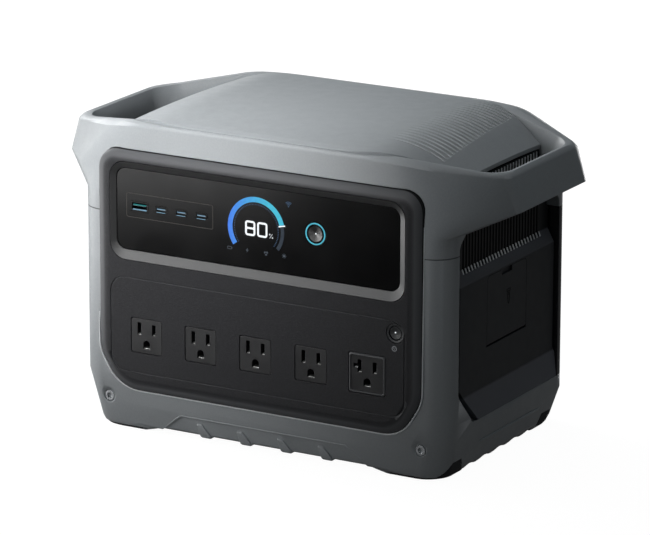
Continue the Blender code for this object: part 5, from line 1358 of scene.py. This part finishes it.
def strip_bead():
    """The bead over the recessed strip."""
    corner = RIM_HALF + RIM_END_SLOPE * (RIM_TOP - RIM_LOW)
    half = [(RIM_HALF, RIM_TOP), (RIM_HALF + RIM_CORNER_RUN, RIM_TOP - RIM_CORNER_DROP), (corner, RIM_LOW)]
    plan = [(-x, z) for x, z in reversed(half)]
    plan += [(RIM_HALF * step / RIM_POINTS, RIM_TOP) for step in range(1 - RIM_POINTS, RIM_POINTS)]
    path = [front_land("lower_frame", x, z) for x, z in plan + half]
    piece("strip_bead", bead(path, RIM_RADIUS))


def strip_ribs():
    """The shaped ribs in the recessed strip."""
    ribs = []
    for index in range(RIB_COUNT):
        x = RIB_FIRST + index * RIB_PITCH
        hull = front_land("lower_frame", x - RIB_ASIDE, RIM_TOP + RIB_ABOVE).y
        loops = []
        for section in RIB_SECTIONS:
            z, left, right, depth = (size * MM for size in section)
            y = hull + depth
            plan = [(left, y + RIB_BEVEL_DEPTH), (left + RIB_BEVEL, y), (right - RIB_BEVEL, y),
                    (right, y + RIB_BEVEL_DEPTH), (right, y + RIB_BACK), (left, y + RIB_BACK)]
            loops.append([Vector((x + along, level, z)) for along, level in plan])
        ribs.append(skin(loops))
    piece("strip_ribs", merged(ribs))


def bumper_ridges():
    """A long ridge on each side of the bumper."""
    for side, way in SIDES:
        path = []
        for step in range(RIDGE_STEPS + 1):
            y = RIDGE_START + (RIDGE_END - RIDGE_START) * step / RIDGE_STEPS
            path.append(side_land("lower_frame", way, y, RIDGE_Z))
        piece(f"bumper_ridge_{side}", bead(path, RIDGE_RADIUS, (way, 0.0, 0.0)))


# Studio
FLOOR_SIZE = 14.0
FLOOR_GLOW = 0.97
FLOOR_COLOUR = 0.12
FLOOR_MOTTLE = 0.01
FLOOR_PATCH = 0.4
FLOOR_DROP = 0.2 * MM
WORLD_LEVEL = 0.03
FILL_TINT = (0.78, 0.96, 1.08, 1.0)
MIRRORED = 0.15


def seen_directly(nodes):
    """1 for rays from the camera, less for mirrors and glass, 0 for rays that light the object."""
    paths = nodes.node("ShaderNodeLightPath").outputs
    mirrored = nodes.maths("MAXIMUM", paths["Is Glossy Ray"], paths["Is Transmission Ray"])
    return nodes.maths("MULTIPLY_ADD", mirrored, MIRRORED, paths["Is Camera Ray"])


def floor():
    """A wide pale floor that reads as white and keeps a soft shadow."""
    shader = Shader("finish_floor")
    patches = shader.noise(FLOOR_PATCH, 2.0)
    shade = shader.remap(patches, FLOOR_COLOUR - FLOOR_MOTTLE, FLOOR_COLOUR + FLOOR_MOTTLE)
    level = shader.maths("MULTIPLY", seen_directly(shader), FLOOR_GLOW)
    shader.feed(shader.surface, {"Base Color": shade, "Roughness": 1.0, "Specular IOR Level": 0.0,
                                 "Emission Color": PLAIN_WHITE, "Emission Strength": level})
    sheet = bmesh.new()
    bmesh.ops.create_grid(sheet, x_segments=4, y_segments=4, size=FLOOR_SIZE / 2)
    mesh = bpy.data.meshes.new("studio_floor")
    sheet.to_mesh(mesh)
    sheet.free()
    mesh.materials.append(shader.material)
    made = new_object("studio_floor", mesh)
    made.location.z = CAD_BOX[0].z - FLOOR_DROP


def world():
    """White where it is seen directly, and a faint even fill."""
    made = bpy.data.worlds.new("studio_world")
    bpy.context.scene.world = made
    made.use_nodes = True
    nodes = Nodes(made.node_tree)
    level = nodes.remap(seen_directly(nodes), WORLD_LEVEL, 1.0)
    camera_rays = nodes.node("ShaderNodeLightPath").outputs["Is Camera Ray"]
    tint = nodes.mix(camera_rays, FILL_TINT, PLAIN_WHITE)
    nodes.feed(nodes.tree.nodes["Background"], {"Color": tint, "Strength": level})


def aimed(light, place, target):
    """A lamp's object, set at a place and turned to its target."""
    made = new_object(light.name, light)
    made.location = place
    aim = Vector(target) - Vector(place)
    made.rotation_euler = aim.to_track_quat("-Z", "Y").to_euler()
    return made


def lamp(name, place, target, width, height, power, card=False):
    """A soft box, or a card that only shows in glossy surfaces."""
    light = bpy.data.lights.new(name, "AREA")
    light.shape = "RECTANGLE"
    light.size = width
    light.size_y = height
    light.energy = power
    made = aimed(light, place, target)
    made.visible_camera = False
    made.visible_diffuse = not card


def spot(name, place, target, angle, power, radius):
    """A round lamp with a soft-edged beam."""
    light = bpy.data.lights.new(name, "SPOT")
    light.energy = power
    light.spot_size = math.radians(angle)
    light.spot_blend = 1.0
    light.shadow_soft_size = radius
    aimed(light, place, target)


def lamps():
    """A broad key from the left, soft fill, narrow beams on the front, and cards for glossy surfaces."""
    lamp("lamp_key", (-1.6, 0.35, 0.95), (0.0, 0.0, 0.2), 0.8, 0.8, 20.0)
    lamp("lamp_key_low", (-1.5, -0.2, 0.70), (0.0, 0.0, 0.2), 0.6, 0.6, 5.2)
    lamp("lamp_key_rear", (-1.2, 1.1, 0.75), (0.0, 0.0, 0.2), 0.8, 0.8, 2.8)
    lamp("lamp_over", (0.0, 0.0, 1.6), (0.0, 0.0, 0.2), 1.2, 1.2, 4.4)
    lamp("lamp_side", (1.5, -0.2, 0.5), (0.15, 0.0, 0.13), 0.8, 0.8, 0.7)
    lamp("lamp_rear", (-0.2, 1.6, 0.11), (0.0, 0.10, 0.12), 0.9, 0.18, 10.0)
    lamp("lamp_left", (-1.5, 0.45, 0.12), (-0.15, 0.0, 0.12), 0.7, 0.20, 1.5)
    spot("lamp_corner", (-0.20, -1.00, 0.85), (-0.11, -0.10, 0.24), 16.0, 94.0, 0.12)
    spot("lamp_beam", (-0.10, -0.85, 0.75), (0.02, -0.10, 0.232), 12.0, 49.0, 0.10)
    spot("lamp_low", (0.10, -1.20, 0.12), (0.0, -0.10, 0.03), 22.0, 8.5, 0.10)
    spot("lamp_column", (-0.75, -0.80, 0.10), (-0.165, -0.10, 0.06), 12.0, 15.0, 0.10)
    lamp("card_glass", (-0.36, -0.53, 0.09), (-0.10, -0.10, 0.205), 0.24, 0.05, 0.74, card=True)
    lamp("card_ledge", (-0.62, -1.15, 0.43), (0.0, -0.10, 0.145), 0.5, 0.35, 4.1, card=True)
    lamp("card_border", (-0.48, -0.24, 0.02), (0.0, -0.10, 0.15), 0.36, 0.36, 3.0, card=True)


def camera():
    """The photograph's viewpoint, solved from the object's edges."""
    lens = bpy.data.cameras.new("camera")
    lens.sensor_width = SENSOR_WIDTH
    lens.lens = FOCAL_PIXELS / IMAGE_WIDTH * SENSOR_WIDTH
    lens.clip_end = CLIP_END
    made = new_object("camera", lens)
    turn = Matrix.Rotation(CAMERA_TURN, 4, "Z") @ Matrix.Rotation(math.pi / 2 - CAMERA_PITCH, 4, "X")
    made.matrix_world = Matrix.Translation(CAMERA_PLACE) @ turn @ Matrix.Rotation(CAMERA_ROLL, 4, "Z")
    bpy.context.scene.camera = made


bpy.context.scene.view_settings.view_transform = "Standard"
camera()
dress_frame()
gauge()
display_icons()
port_box()
panel_face()
opening_lip()
top_cover()
ports()
buttons()
outlet_contacts()
outlet_frame()
louvre_teeth()
louvre_heads()
flap_sign()
bumper_shell()
strip_bead()
strip_ribs()
bumper_ridges()
floor()
world()
lamps()
